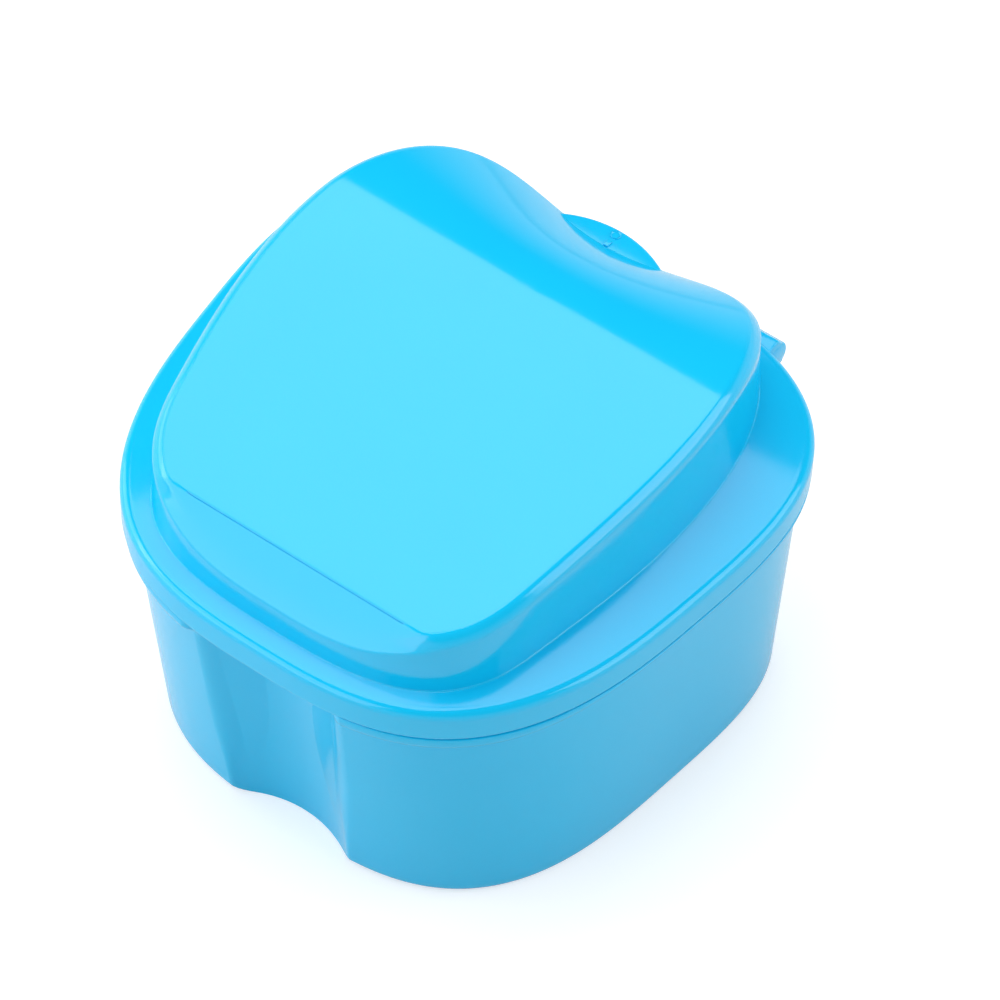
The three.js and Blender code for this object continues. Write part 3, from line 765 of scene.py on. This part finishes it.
        # The flange falls away from the hood's foot at the same slope all round.
        rise = [form.flange_slope * math.dist(a, b) for a, b in zip(rim, foot)]
        rings = []
        for share in (0.04, 0.12, 0.3, 0.5, 0.7, 0.88, 0.96, 1.0):
            line = between(rim, foot, share)
            rings.append([(x, y, form.flange_top + up * share) for (x, y), up in zip(line, rise)])
        base = [form.flange_top + up for up in rise]
        for s, c in quarter(5)[1:]:
            line = inset(hood, -fillet * (1 - s))
            rings.append([dip((x, y, low + fillet * (1 - c))) for (x, y), low in zip(line, base)])
        wall_top = inset(hood, form.hood_draft)
        profile = form.roof_profile(0.0)
        height = form.roof_height(profile)
        edge = [height(x, y) - self._edge_fall(y) for x, y in wall_top]
        for share in (0.06, 0.2, 0.4, 0.6, 0.8, 0.93):
            line = between(hood, wall_top, share)
            rings.append([dip((x, y, low + fillet + (e - low - fillet) * share))
                          for (x, y), e, low in zip(line, edge, base)])
        return rings + [[dip(p) for p in ring] for ring in self._roof_rings(wall_top, profile, True)]

    def _relieved(self, ring: Ring) -> Ring:
        """Lifts the skirt's lower edge between the hinge barrels, where it is cut away."""
        half, top = self.form.relief_half, self.form.relief_top
        return [(x, y, max(z, top) if y > 0 and abs(x) < half else z) for x, y, z in ring]

    def _hood_rear(self, x: float, z: float) -> float:
        """Where the hood's rear face lies at a place across and a height."""
        origin = Vector((x, 60.0, z)) * MM
        hit = self.hood_tree.ray_cast(origin, Vector((0, -1, 0)))
        return hit[0].y / MM if hit[0] is not None else 38.0

    def ledge(self) -> Piece:
        """Builds the round-fronted thumb ledge in the dip behind the hood.

        Returns:
            The ledge, its inner side sunk in the hood's wall.
        """
        form = self.ledge_form
        top, edge, half = form.top, form.edge, form.half_width
        base = self.form.flange_top + self.form.flange_rise - 0.4
        across = [half * (2 * i / form.steps - 1) for i in range(form.steps + 1)]

        def ring(height: float, shrink: float, probe: float) -> Ring:
            """Outline of the ledge at a height: the round edge, then back along the hood's wall."""
            r = form.radius - shrink
            centre = form.reach - form.radius
            walls = [(x, self._hood_rear(x, probe)) for x in across]
            front = [(x, max(y - form.sunk, centre + math.sqrt(r * r - x * x)), height) for x, y in walls]
            back = [(x, y - form.sunk - 0.05, height) for x, y in reversed(walls)]
            return list(reversed(front + back))

        rings = []
        for i in range(11):
            height = base + (top - edge - base) * i / 10
            rings.append(ring(height, 0.0, max(base + 1.2, height)))
        for s, c in quarter(5)[1:]:
            rings.append(ring(top - edge * (1 - s), edge * (1 - c), top))
        bm = Workshop.skin(rings)
        Workshop.split_caps(bm)
        return Workshop.finish("lid_thumb_ledge", bm, self.plastic.material(), crease=40)

    def gate_mark(self) -> Piece:
        """Builds the small marks left on the ledge by moulding: a shallow gate ring and a short tab."""
        form = self.ledge_form
        gate = bmesh.new()
        bmesh.ops.create_cone(gate, cap_ends=True, segments=40, radius1=form.gate_radius * MM,
                              radius2=(form.gate_radius - 0.12) * MM, depth=0.36 * MM)
        top = [f for f in gate.faces if len(f.verts) > 4 and f.normal.z > 0.5]
        bmesh.ops.inset_region(gate, faces=top, thickness=0.24 * MM, depth=0)
        bmesh.ops.translate(gate, verts=list({v for f in top for v in f.verts}), vec=(0, 0, -0.26 * MM))
        Workshop.shifted(gate, form.gate_place)
        Workshop.rounded(gate, [e for e in gate.edges if e.calc_face_angle(0) > 0.6], 0.05, 2)
        tab = Workshop.shifted(Workshop.block(form.tab_size, 0.1), form.tab_place)
        return Workshop.finish("lid_gate_mark", Workshop.joined([gate, tab]), self.plastic.material())

    def barrels(self) -> Piece:
        """Builds the two hinge barrels with their webs and stop heels.

        Returns:
            Both barrels as one object.
        """
        hinge = self.hinge
        r = hinge.barrel_radius
        turn = math.radians(hinge.open_angle)
        parts = []
        for side in Side:
            low, high = side.value * hinge.barrel_inner, side.value * hinge.barrel_outer
            parts.append(Workshop.rod(r, low, high, hinge.y, hinge.z, 0.35))
            near, far = low + hinge.web_inset * side.value, high - hinge.web_inset * side.value
            parts.append(Workshop.plate([
                (hinge.y - r, hinge.z), (hinge.y, hinge.z), (hinge.y + r * 0.70, hinge.z + r * 0.70),
                (hinge.y + 0.2, hinge.web_top), (hinge.y - r, hinge.web_top),
            ], near, far, 0.3))
            # The heel meets the tub when the lid is open all the way.
            hy, hz, ty, tz = -math.cos(turn), -math.sin(turn), math.sin(turn), -math.cos(turn)
            h = r * 0.7071
            reach = r + 0.15
            parts.append(Workshop.plate([
                (hinge.y + ty * h, hinge.z + tz * h), (hinge.y - ty * h, hinge.z - tz * h),
                (hinge.y + hy * reach - ty * h / 2, hinge.z + hz * reach - tz * h / 2),
                (hinge.y + hy * reach + ty * h / 2, hinge.z + hz * reach + tz * h / 2),
            ], near + 0.04 * side.value, far - 0.04 * side.value, 0.15))
        return Workshop.finish("lid_hinge_barrels", Workshop.joined(parts), self.plastic.material(), 40)

    def build(self) -> list[Piece]:
        """Builds every piece of the lid."""
        return [self.shell(), self.ledge(), self.gate_mark(), self.barrels()]


@dataclass
class TubForm:
    """Sizes of the tub and its outlines at any height, in millimetres."""

    rim: float = 49.4
    rim_edge: float = 0.4
    rim_play: float = 0.3
    wall: float = 1.6
    floor: float = 1.8
    foot_radius: float = 1.6
    floor_radius: float = 2.2
    lip_top: float = 45.42
    lip_height: float = 0.8
    lip_front_extra: float = 1.4
    lip_reach: float = 1.35
    swell: float = 0.6
    swell_span: Point2 = (27.8, 31.5)
    lip_span: Point2 = (5.0, 38.0)
    blend_span: Point2 = (4.0, 24.0)
    wall_end: float = 42.4
    ring_step: float = 1.1
    scallop_radius: float = 17.3
    scallop_reach: float = 3.9
    scallop_lean: float = 4.4
    scallop_roof: float = 46.0
    foot_blend: float = 0.5
    edge_blend: float = 1.3
    facet_foot: float = 6.0
    facet_rise: float = 28.0
    facet_width: float = 5.5
    facet_edge: float = 7.3
    facet_splay: float = 3.4
    rib_size: Point3 = (3.1, 1.4, 38.4)
    rib_foot: float = 2.0
    rib_inwards: float = 0.75
    rib_bearings: tuple[float, ...] = (0.055, 0.17, 0.36, 0.445, 0.555, 0.64, 0.83, 0.945)
    base: PlanCurve = field(default_factory=lambda: PlanCurve(81.3, -37.7, 41.2, 1.55, 3.1, 3.5, 0.11))

    def columns(self) -> list[float]:
        """Shares of the way round at which the tub's rings have a point: close together in front."""
        half = [i * 0.2 / 290 for i in range(120)]
        while half[-1] + 0.8 / 290 < 0.5:
            half.append(half[-1] + 0.8 / 290)
        return sorted({round(s, 7) for s in half} | {round(1 - s, 7) for s in half if s > 0})


class Tub:
    """The tub: tapered walls, finger scallop with tapering facets, lip, ribs and hinge ears."""

    # The lip's rings, from below: how far out, how far down as a share of the lip, and how much lower still.
    LIP_STEPS = (
        (0.0, 1.12, 0.0), (0.12, 1.04, 0.0), (0.4, 1.0, 0.0), (0.75, 0.96, 0.0), (0.93, 0.86, 0.0),
        (1.0, 0.7, 0.0), (1.0, 0.4, 0.0), (1.0, 0.0, 0.22), (0.97, 0.0, 0.1), (0.9, 0.0, 0.03),
        (0.8, 0.0, 0.0), (0.4, 0.0, 0.0), (0.0, 0.0, 0.0),
    )

    def __init__(self, form: TubForm, lid: LidForm, hinge: HingeForm, plastic: MouldedPlastic) -> None:
        """Keeps the sizes and the finish, and works out the foot and rim outlines."""
        self.form = form
        self.hinge = hinge
        self.plastic = plastic
        self.shares = form.columns()
        self.foot = form.base.points(self.shares)
        self.rim = inset(lid.skirt.points(self.shares), form.wall + form.rim_play)

    def plan(self, height: float) -> list[Point2]:
        """Outline of the tub's outside at a height, without its scallop."""
        return between(self.foot, self.rim, height / self.form.rim)

    def outside(self, height: float, out: float = 0.0, swell: float = 0.0) -> list[Point2]:
        """Outline of the tub's outside without its scallop, pushed out and swollen.

        Args:
            height: Height of the outline.
            out: How far it is pushed out all round.
            swell: How much further it stands out, except behind, at the hinge.

        Returns:
            The outline.
        """
        plain = inset(self.plan(height), -out)
        swollen = inset(self.plan(height), -out - swell)
        mixed = []
        for p, q in zip(plain, swollen):
            share = 1.0 if p[1] < 0 else smooth_step(abs(p[0]), *self.form.swell_span)
            mixed.append((p[0] + (q[0] - p[0]) * share, p[1] + (q[1] - p[1]) * share))
        return mixed

    def scalloped(self, points: Sequence[Point2], height: float, wall: float = 0.0) -> list[Point2]:
        """Cuts the finger scallop into an outline.

        Args:
            points: The outline at this height.
            height: Height of the outline.
            wall: How much wider the cut is than the scallop's outside. Where it is 0, which is on the
                outside, the tapering facets beside the scallop are cut too.

        Returns:
            The outline with the scallop.
        """
        form = self.form
        radius = form.scallop_radius + wall
        lean = form.scallop_lean * height / form.scallop_roof
        centre = form.base.front + form.scallop_reach - form.scallop_radius - lean
        front = min(y for _, y in points)
        blend = form.foot_blend + form.edge_blend * smooth_step(height, *form.blend_span)

        def arc(across: float) -> float:
            """Where the scallop's round face lies at a place across."""
            return centre + math.sqrt(radius * radius - across * across)

        edge_x = form.facet_edge + form.facet_splay * height / form.scallop_roof
        rise = 0.0 if wall else min(1.0, max(0.0, (height - form.facet_foot) / form.facet_rise))
        inner_x = edge_x - form.facet_width * (1 - (1 - rise) ** 2)
        beside = min((p for p in points if p[1] < 0), key=lambda p: abs(abs(p[0]) - edge_x))[1]
        edge_y = soft_max(beside, arc(edge_x), blend)
        inner_y = soft_max(front, arc(inner_x), blend)
        cut = []
        for x, y in points:
            if y < 0 and abs(x) < radius:
                across = abs(x)
                if rise > 0:
                    # The nearest column lies on the facet's edge, so that the edge runs straight.
                    across = next((goal for goal in (inner_x, edge_x) if abs(across - goal) < 0.11), across)
                    x = math.copysign(across, x)
                y = soft_max(y, arc(across), blend)
                if rise > 0 and inner_x < across < edge_x:
                    y = inner_y + (edge_y - inner_y) * (across - inner_x) / (edge_x - inner_x)
            cut.append((x, y))
        return cut

    def _ring(self, height: float, out: float = 0.0, swell: float = 0.0, wall: float = 0.0) -> Ring:
        """A level ring with the scallop: pushed out, swollen, and cut wider by a wall."""
        return raised(self.scalloped(self.outside(height, out, swell), height, wall), height)

    def _wall_rings(self) -> list[Ring]:
        """Rings up the outside.

        Returns:
            Rings from the foot's rounding to the top of the lip.
        """
        form = self.form

        def swell(height: float) -> float:
            """How far the wall stands out below the lid's skirt."""
            return form.swell * height / form.lip_top

        def lip_depth(y: float) -> float:
            """How tall the lip is: tallest in front."""
            return form.lip_height + form.lip_front_extra * smooth_step(-y, *form.lip_span)

        rings = []
        for s, c in quarter(6):
            up = form.foot_radius * (1 - c)
            rings.append(self._ring(up, -form.foot_radius * (1 - s), swell(up)))
        height = form.foot_radius + 0.8
        while height < form.wall_end:
            rings.append(self._ring(height, 0.0, swell(height)))
            height += form.ring_step
        for out, share, below in self.LIP_STEPS:
            level = form.lip_top - share * form.lip_height - below
            line = self.scalloped(self.outside(level, 0.0, swell(level) + out * form.lip_reach), level)
            rings.append([(x, y, form.lip_top - share * lip_depth(y) - below) for x, y in line])
        return rings

    def _rim_rings(self) -> list[Ring]:
        """Rings from the lip over the scallop's roof and the rounded rim.

        Returns:
            The rings, the last one on the inside.
        """
        form = self.form
        lip, roof, rim, edge = form.lip_top, form.scallop_roof, form.rim, form.rim_edge
        rings = [
            raised(self.scalloped(self.outside(lip), lip), lip + 0.02),
            raised(self.scalloped(self.outside(roof - 0.15), roof), roof - 0.15),
            self._ring(roof),
        ]
        rings += [raised(self.outside(height), height) for height in (roof, roof + 0.3, rim - edge - 0.3)]
        for s, c in quarter(4):
            rings.append(raised(self.outside(rim, -edge * (1 - c)), rim - edge * (1 - s)))
        for s, c in quarter(4):
            rings.append(raised(self.outside(rim, edge * (1 - s) - form.wall), rim - edge * (1 - c)))
        rings.append(raised(self.outside(rim, -form.wall), rim - edge - 0.3))
        return rings

    def _inside_rings(self) -> list[Ring]:
        """Rings down the inside, under the scallop's roof.

        Returns:
            The rings, the last one at the rounded edge of the floor.
        """
        form = self.form
        wall, radius = form.wall, form.floor_radius
        roof = form.scallop_roof + wall
        plain = self.outside(roof, -wall)
        rings = [raised(plain, roof + 0.2), raised(plain, roof)]
        rings += [raised(self.scalloped(plain, roof, wall), height) for height in (roof, roof - 0.3)]
        for i in range(1, 12):
            level = roof - (roof - form.floor - radius) * i / 11
            rings.append(self._ring(level, -wall, wall=wall))
        for s, c in quarter(5)[1:]:
            level = form.floor + radius * (1 - s)
            rings.append(self._ring(level, -wall - radius * (1 - c), wall=wall + radius * (1 - c)))
        return rings

    def shell(self) -> Piece:
        """Builds the tub's walls and floor as one closed skin."""
        bm = Workshop.skin(self._wall_rings() + self._rim_rings() + self._inside_rings())
        Workshop.split_caps(bm)
        return Workshop.finish("tub_shell", bm, self.plastic.material(), crease=45)

    def ribs(self) -> Piece:
        """Builds the upright ribs inside that carry the basket's rim.

        Returns:
            All ribs as one object.
        """
        form = self.form
        tall, foot = form.rib_size[2], form.rib_foot
        high_line = inset(self.plan(foot + tall), form.wall)
        low_line = inset(self.plan(foot), form.wall)
        parts = []
        for bearing in form.rib_bearings:
            index = min(range(len(self.shares)), key=lambda i, b=bearing: abs(self.shares[i] - b))
            (x, y), (low_x, low_y) = high_line[index], low_line[index]
            angle = math.atan2(y, x)
            drawn_in = ((x - low_x) * math.cos(angle) + (y - low_y) * math.sin(angle)) / tall
            bm = Workshop.shifted(Workshop.block(form.rib_size, 0.3), (-form.rib_inwards, 0, 0))
            # The rib leans with the wall about its upper end.
            lean = Matrix(((1, 0, drawn_in), (0, 1, 0), (0, 0, 1)))
            bmesh.ops.translate(bm, verts=bm.verts, vec=(0, 0, -tall / 2 * MM))
            bmesh.ops.transform(bm, verts=bm.verts, matrix=lean.to_4x4())
            bmesh.ops.translate(bm, verts=bm.verts, vec=(0, 0, tall / 2 * MM))
            bmesh.ops.rotate(bm, verts=bm.verts, cent=(0, 0, 0), matrix=Matrix.Rotation(angle, 3, "Z"))
            parts.append(Workshop.shifted(bm, (x, y, foot + tall / 2)))
        return Workshop.finish("tub_ribs", Workshop.joined(parts), self.plastic.material(), 40)

    def ears(self) -> Piece:
        """Builds the two hinge ears with their brackets and pegs.

        Returns:
            Both ears as one object.
        """
        hinge = self.hinge
        r, root = hinge.ear_radius, hinge.ear_root
        parts = []
        for side in Side:
            low, high = side.value * hinge.ear_inner, side.value * hinge.ear_outer
            parts.append(Workshop.rod(r, low, high, hinge.y, hinge.z, 0.3))
            parts.append(Workshop.plate([
                (root, hinge.z - 3 * r), (hinge.y - r * 0.7, hinge.z - 1.5 * r),
                (hinge.y + r * 0.7, hinge.z - r * 0.7), (hinge.y, hinge.z + r * 0.7),
                (root, hinge.z + r * 0.7),
            ], low + hinge.web_inset * side.value, high - hinge.web_inset * side.value, 0.25))
            start, end = side.value * hinge.peg_start, side.value * hinge.peg_end
            parts.append(Workshop.rod(hinge.peg_radius, start, end, hinge.y, hinge.z, 0.3))
        return Workshop.finish("tub_hinge_ears", Workshop.joined(parts), self.plastic.material(), 40)

    def build(self) -> list[Piece]:
        """Builds every piece of the tub."""
        return [self.shell(), self.ribs(), self.ears()]


class StrainerBasket:
    """The slotted basket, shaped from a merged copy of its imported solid."""

    def __init__(self, packed: Piece, plastic: MouldedPlastic) -> None:
        """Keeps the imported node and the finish."""
        self.packed = packed
        self.plastic = plastic

    def build(self) -> list[Piece]:
        """Merges a copy of the solid, rounds its edges and shades it smooth."""
        bm = bmesh.new()
        bm.from_mesh(self.packed.data)
        bmesh.ops.remove_doubles(bm, verts=bm.verts, dist=2e-6)
        bmesh.ops.dissolve_degenerate(bm, dist=2e-6, edges=bm.edges)
        bmesh.ops.dissolve_limit(bm, angle_limit=math.radians(1.0), verts=bm.verts, edges=bm.edges,
                                 use_dissolve_boundaries=False)
        sharp = [e for e in bm.edges if len(e.link_faces) == 2 and e.calc_face_angle(0.0) > math.radians(50)]
        Workshop.rounded(bm, sharp, 0.14, 2, clamp=True)
        bmesh.ops.dissolve_degenerate(bm, dist=1e-6, edges=bm.edges)
        return [Workshop.finish("basket_shell", bm, self.plastic.material(), crease=40)]


@dataclass(frozen=True)
class Lamp:
    """A soft box: a lit rectangle, in metres."""

    name: str
    place: Point3
    size: Point2
    radiance: float
    aim: Point3

    def hang(self) -> None:
        """Hangs the lamp, with its back towards its aim and its lit side turned away from it."""
        width, height = self.size
        data = bpy.data.lights.new(self.name, "AREA")
        data.shape = "RECTANGLE"
        data.size, data.size_y = width, height
        data.energy = self.radiance * width * height * math.pi
        lamp = bpy.data.objects.new(self.name, data)
        back = Vector(self.aim).normalized()
        above = Vector((0, 1, 0)) if abs(back.z) > 0.99 else Vector((0, 0, 1))
        side = above.cross(back).normalized()
        lamp.matrix_world = placed(self.place, side, back.cross(side).normalized(), back)
        bpy.context.scene.collection.objects.link(lamp)


def placed(place: Point3, side: Vector, above: Vector, back: Vector) -> Matrix:
    """The matrix of an object at a place, turned so that its axes lie along three directions."""
    return Matrix.Translation(place) @ Matrix((side, above, back)).transposed().to_4x4()


@dataclass(frozen=True)
class Studio:
    """Pale floor, soft lamps and the camera that the photograph was taken from."""

    floor_size: float = 6.0
    floor_shade: float = 0.66
    floor_lift: float = 0.5
    floor_mirrored: float = 0.16
    ambient: float = 0.38
    # What a mirroring face sees of the surroundings: heights as shares, and greys.
    mirrored: tuple[Point2, ...] = ((0.0, 0.95), (0.2, 0.62), (0.42, 0.07), (1.0, 0.07))
    lens_pixels: float = 5588.91
    picture_pixels: float = 1000
    sensor: float = 36.0
    place: Point3 = (0.290794, -0.402368, 0.66737)
    bearing: float = 35.0077
    tilt: float = 51.6735
    roll: float = 1.9647
    lamps: tuple[Lamp, ...] = (
        Lamp("softbox_above", (-0.325, 0.237, 0.95), (0.85, 1.026), 2.1, (0, 0, 1)),
        Lamp("panel_front", (-0.65, -1.0, 0.6), (1.8, 1.0), 1.75, (-0.36, -0.82, 0.44)),
        Lamp("panel_right", (0.85, 0.4, 0.5), (1.0, 0.7), 2.3, (0.75, 0.4, 0.45)),
        Lamp("panel_left", (-1.1, -0.3, 0.5), (0.9, 0.7), 1.8, (-0.85, -0.25, 0.4)),
    )

    def camera(self) -> None:
        """Places the camera, from its bearing, its tilt and its roll."""
        az, el, roll = (math.radians(v) for v in (self.bearing, self.tilt, self.roll))
        back = Vector((math.sin(az) * math.cos(el), -math.cos(az) * math.cos(el), math.sin(el)))
        right = Vector((math.cos(az), math.sin(az), 0))
        up = back.cross(right)
        across = right * math.cos(roll) + up * math.sin(roll)
        above = up * math.cos(roll) - right * math.sin(roll)
        data = bpy.data.cameras.new("camera")
        data.sensor_width = self.sensor
        data.lens = self.lens_pixels / self.picture_pixels * self.sensor
        data.clip_start = 0.01
        camera = bpy.data.objects.new("camera", data)
        camera.matrix_world = placed(self.place, across, above, back)
        bpy.context.scene.collection.objects.link(camera)
        bpy.context.scene.camera = camera

    def floor(self) -> None:
        """Lays the plain pale floor, which the object's shadow falls on."""
        bm = bmesh.new()
        bmesh.ops.create_grid(bm, x_segments=8, y_segments=8, size=self.floor_size / 2)
        made = bpy.data.materials.new("pale_floor")
        made.use_nodes = True
        nodes, links = made.node_tree.nodes, made.node_tree.links
        shader = nodes["Principled BSDF"]
        for label, value in (("Base Color", (self.floor_shade,) * 3 + (1,)), ("Roughness", 0.9),
                             ("Specular IOR Level", 0.1), ("Emission Color", (1, 1, 1, 1))):
            shader.inputs[label].default_value = value
        path = nodes.new("ShaderNodeLightPath")
        mirrored, lift = nodes.new("ShaderNodeMath"), nodes.new("ShaderNodeMath")
        mirrored.operation, lift.operation = "MULTIPLY", "MULTIPLY_ADD"
        mirrored.inputs[1].default_value = self.floor_mirrored
        lift.inputs[1].default_value = self.floor_lift
        links.new(path.outputs["Is Glossy Ray"], mirrored.inputs[0])
        links.new(path.outputs["Is Camera Ray"], lift.inputs[0])
        links.new(mirrored.outputs["Value"], lift.inputs[2])
        links.new(lift.outputs["Value"], shader.inputs["Emission Strength"])
        floor = Workshop.finish("floor", bm, made)

    def world(self) -> None:
        """Sets the pale surroundings: white to the camera, softer as light."""
        world = bpy.data.worlds.new("studio")
        bpy.context.scene.world = world
        world.use_nodes = True
        nodes, links = world.node_tree.nodes, world.node_tree.links
        ground = nodes["Background"]
        path = nodes.new("ShaderNodeLightPath")
        place = nodes.new("ShaderNodeTexCoord")
        split = nodes.new("ShaderNodeSeparateXYZ")
        links.new(place.outputs["Generated"], split.inputs["Vector"])
        ramp = nodes.new("ShaderNodeValToRGB")
        steps = ramp.color_ramp.elements
        steps[1].position, steps[0].position = 1.0, 0.0
        for height, _ in self.mirrored[1:-1]:
            steps.new(height)
        for step, (_, grey) in zip(steps, self.mirrored):
            step.color = (grey, grey, grey, 1)
        links.new(split.outputs["Z"], ramp.inputs["Fac"])
        glossy, camera = nodes.new("ShaderNodeMix"), nodes.new("ShaderNodeMix")
        for mix, ray in ((glossy, "Is Glossy Ray"), (camera, "Is Camera Ray")):
            mix.data_type = "RGBA"
            links.new(path.outputs[ray], mix.inputs["Factor"])
        glossy.inputs["A"].default_value = (self.ambient,) * 3 + (1,)
        links.new(ramp.outputs["Color"], glossy.inputs["B"])
        links.new(glossy.outputs["Result"], camera.inputs["A"])
        camera.inputs["B"].default_value = (1, 1, 1, 1)
        links.new(camera.outputs["Result"], ground.inputs["Color"])
        ground.inputs["Strength"].default_value = 1.0

    def build(self) -> None:
        """Sets up floor, surroundings, lamps and camera."""
        bpy.context.scene.view_settings.view_transform = "Standard"
        self.camera()
        self.floor()
        self.world()
        for lamp in self.lamps:
            lamp.hang()


def main() -> None:
    """Builds the case's pieces in order, sets them on their bodies and reports each one."""
    logging.basicConfig(level=logging.INFO, format="%(name)s: %(message)s")
    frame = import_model()
    Studio().build()
    lid_form, hinge = LidForm(), HingeForm()
    lid_plastic = MouldedPlastic("lid_gloss_plastic", (0.004, 0.545, 0.91), (0.003, 0.525, 0.90), ior=1.55)
    tub_plastic = MouldedPlastic("tub_gloss_plastic", (0.004, 0.54, 0.90), (0.003, 0.52, 0.89), ior=1.46)
    basket_plastic = MouldedPlastic("basket_gloss_plastic", (0.16, 0.66, 0.92), (0.13, 0.62, 0.9), gloss=0.2)
    groups = (
        ("tub_body", "tub", "tub_blue", Tub(TubForm(), lid_form, hinge, tub_plastic).build()),
        ("lid_body", "lid", "lid_blue", Lid(lid_form, hinge, lid_plastic).build()),
        ("basket_body", "strainer_basket", "basket_blue",
         StrainerBasket(frame["nodes"]["strainer_basket"], basket_plastic).build()),
    )
    for body, node, slot, pieces in groups:
        for piece in pieces:
            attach(piece, body)
            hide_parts(node)
            log.info("%s rides on %s, %d faces", piece.name, body, len(piece.data.polygons))


if __name__ == "__main__":
    main()
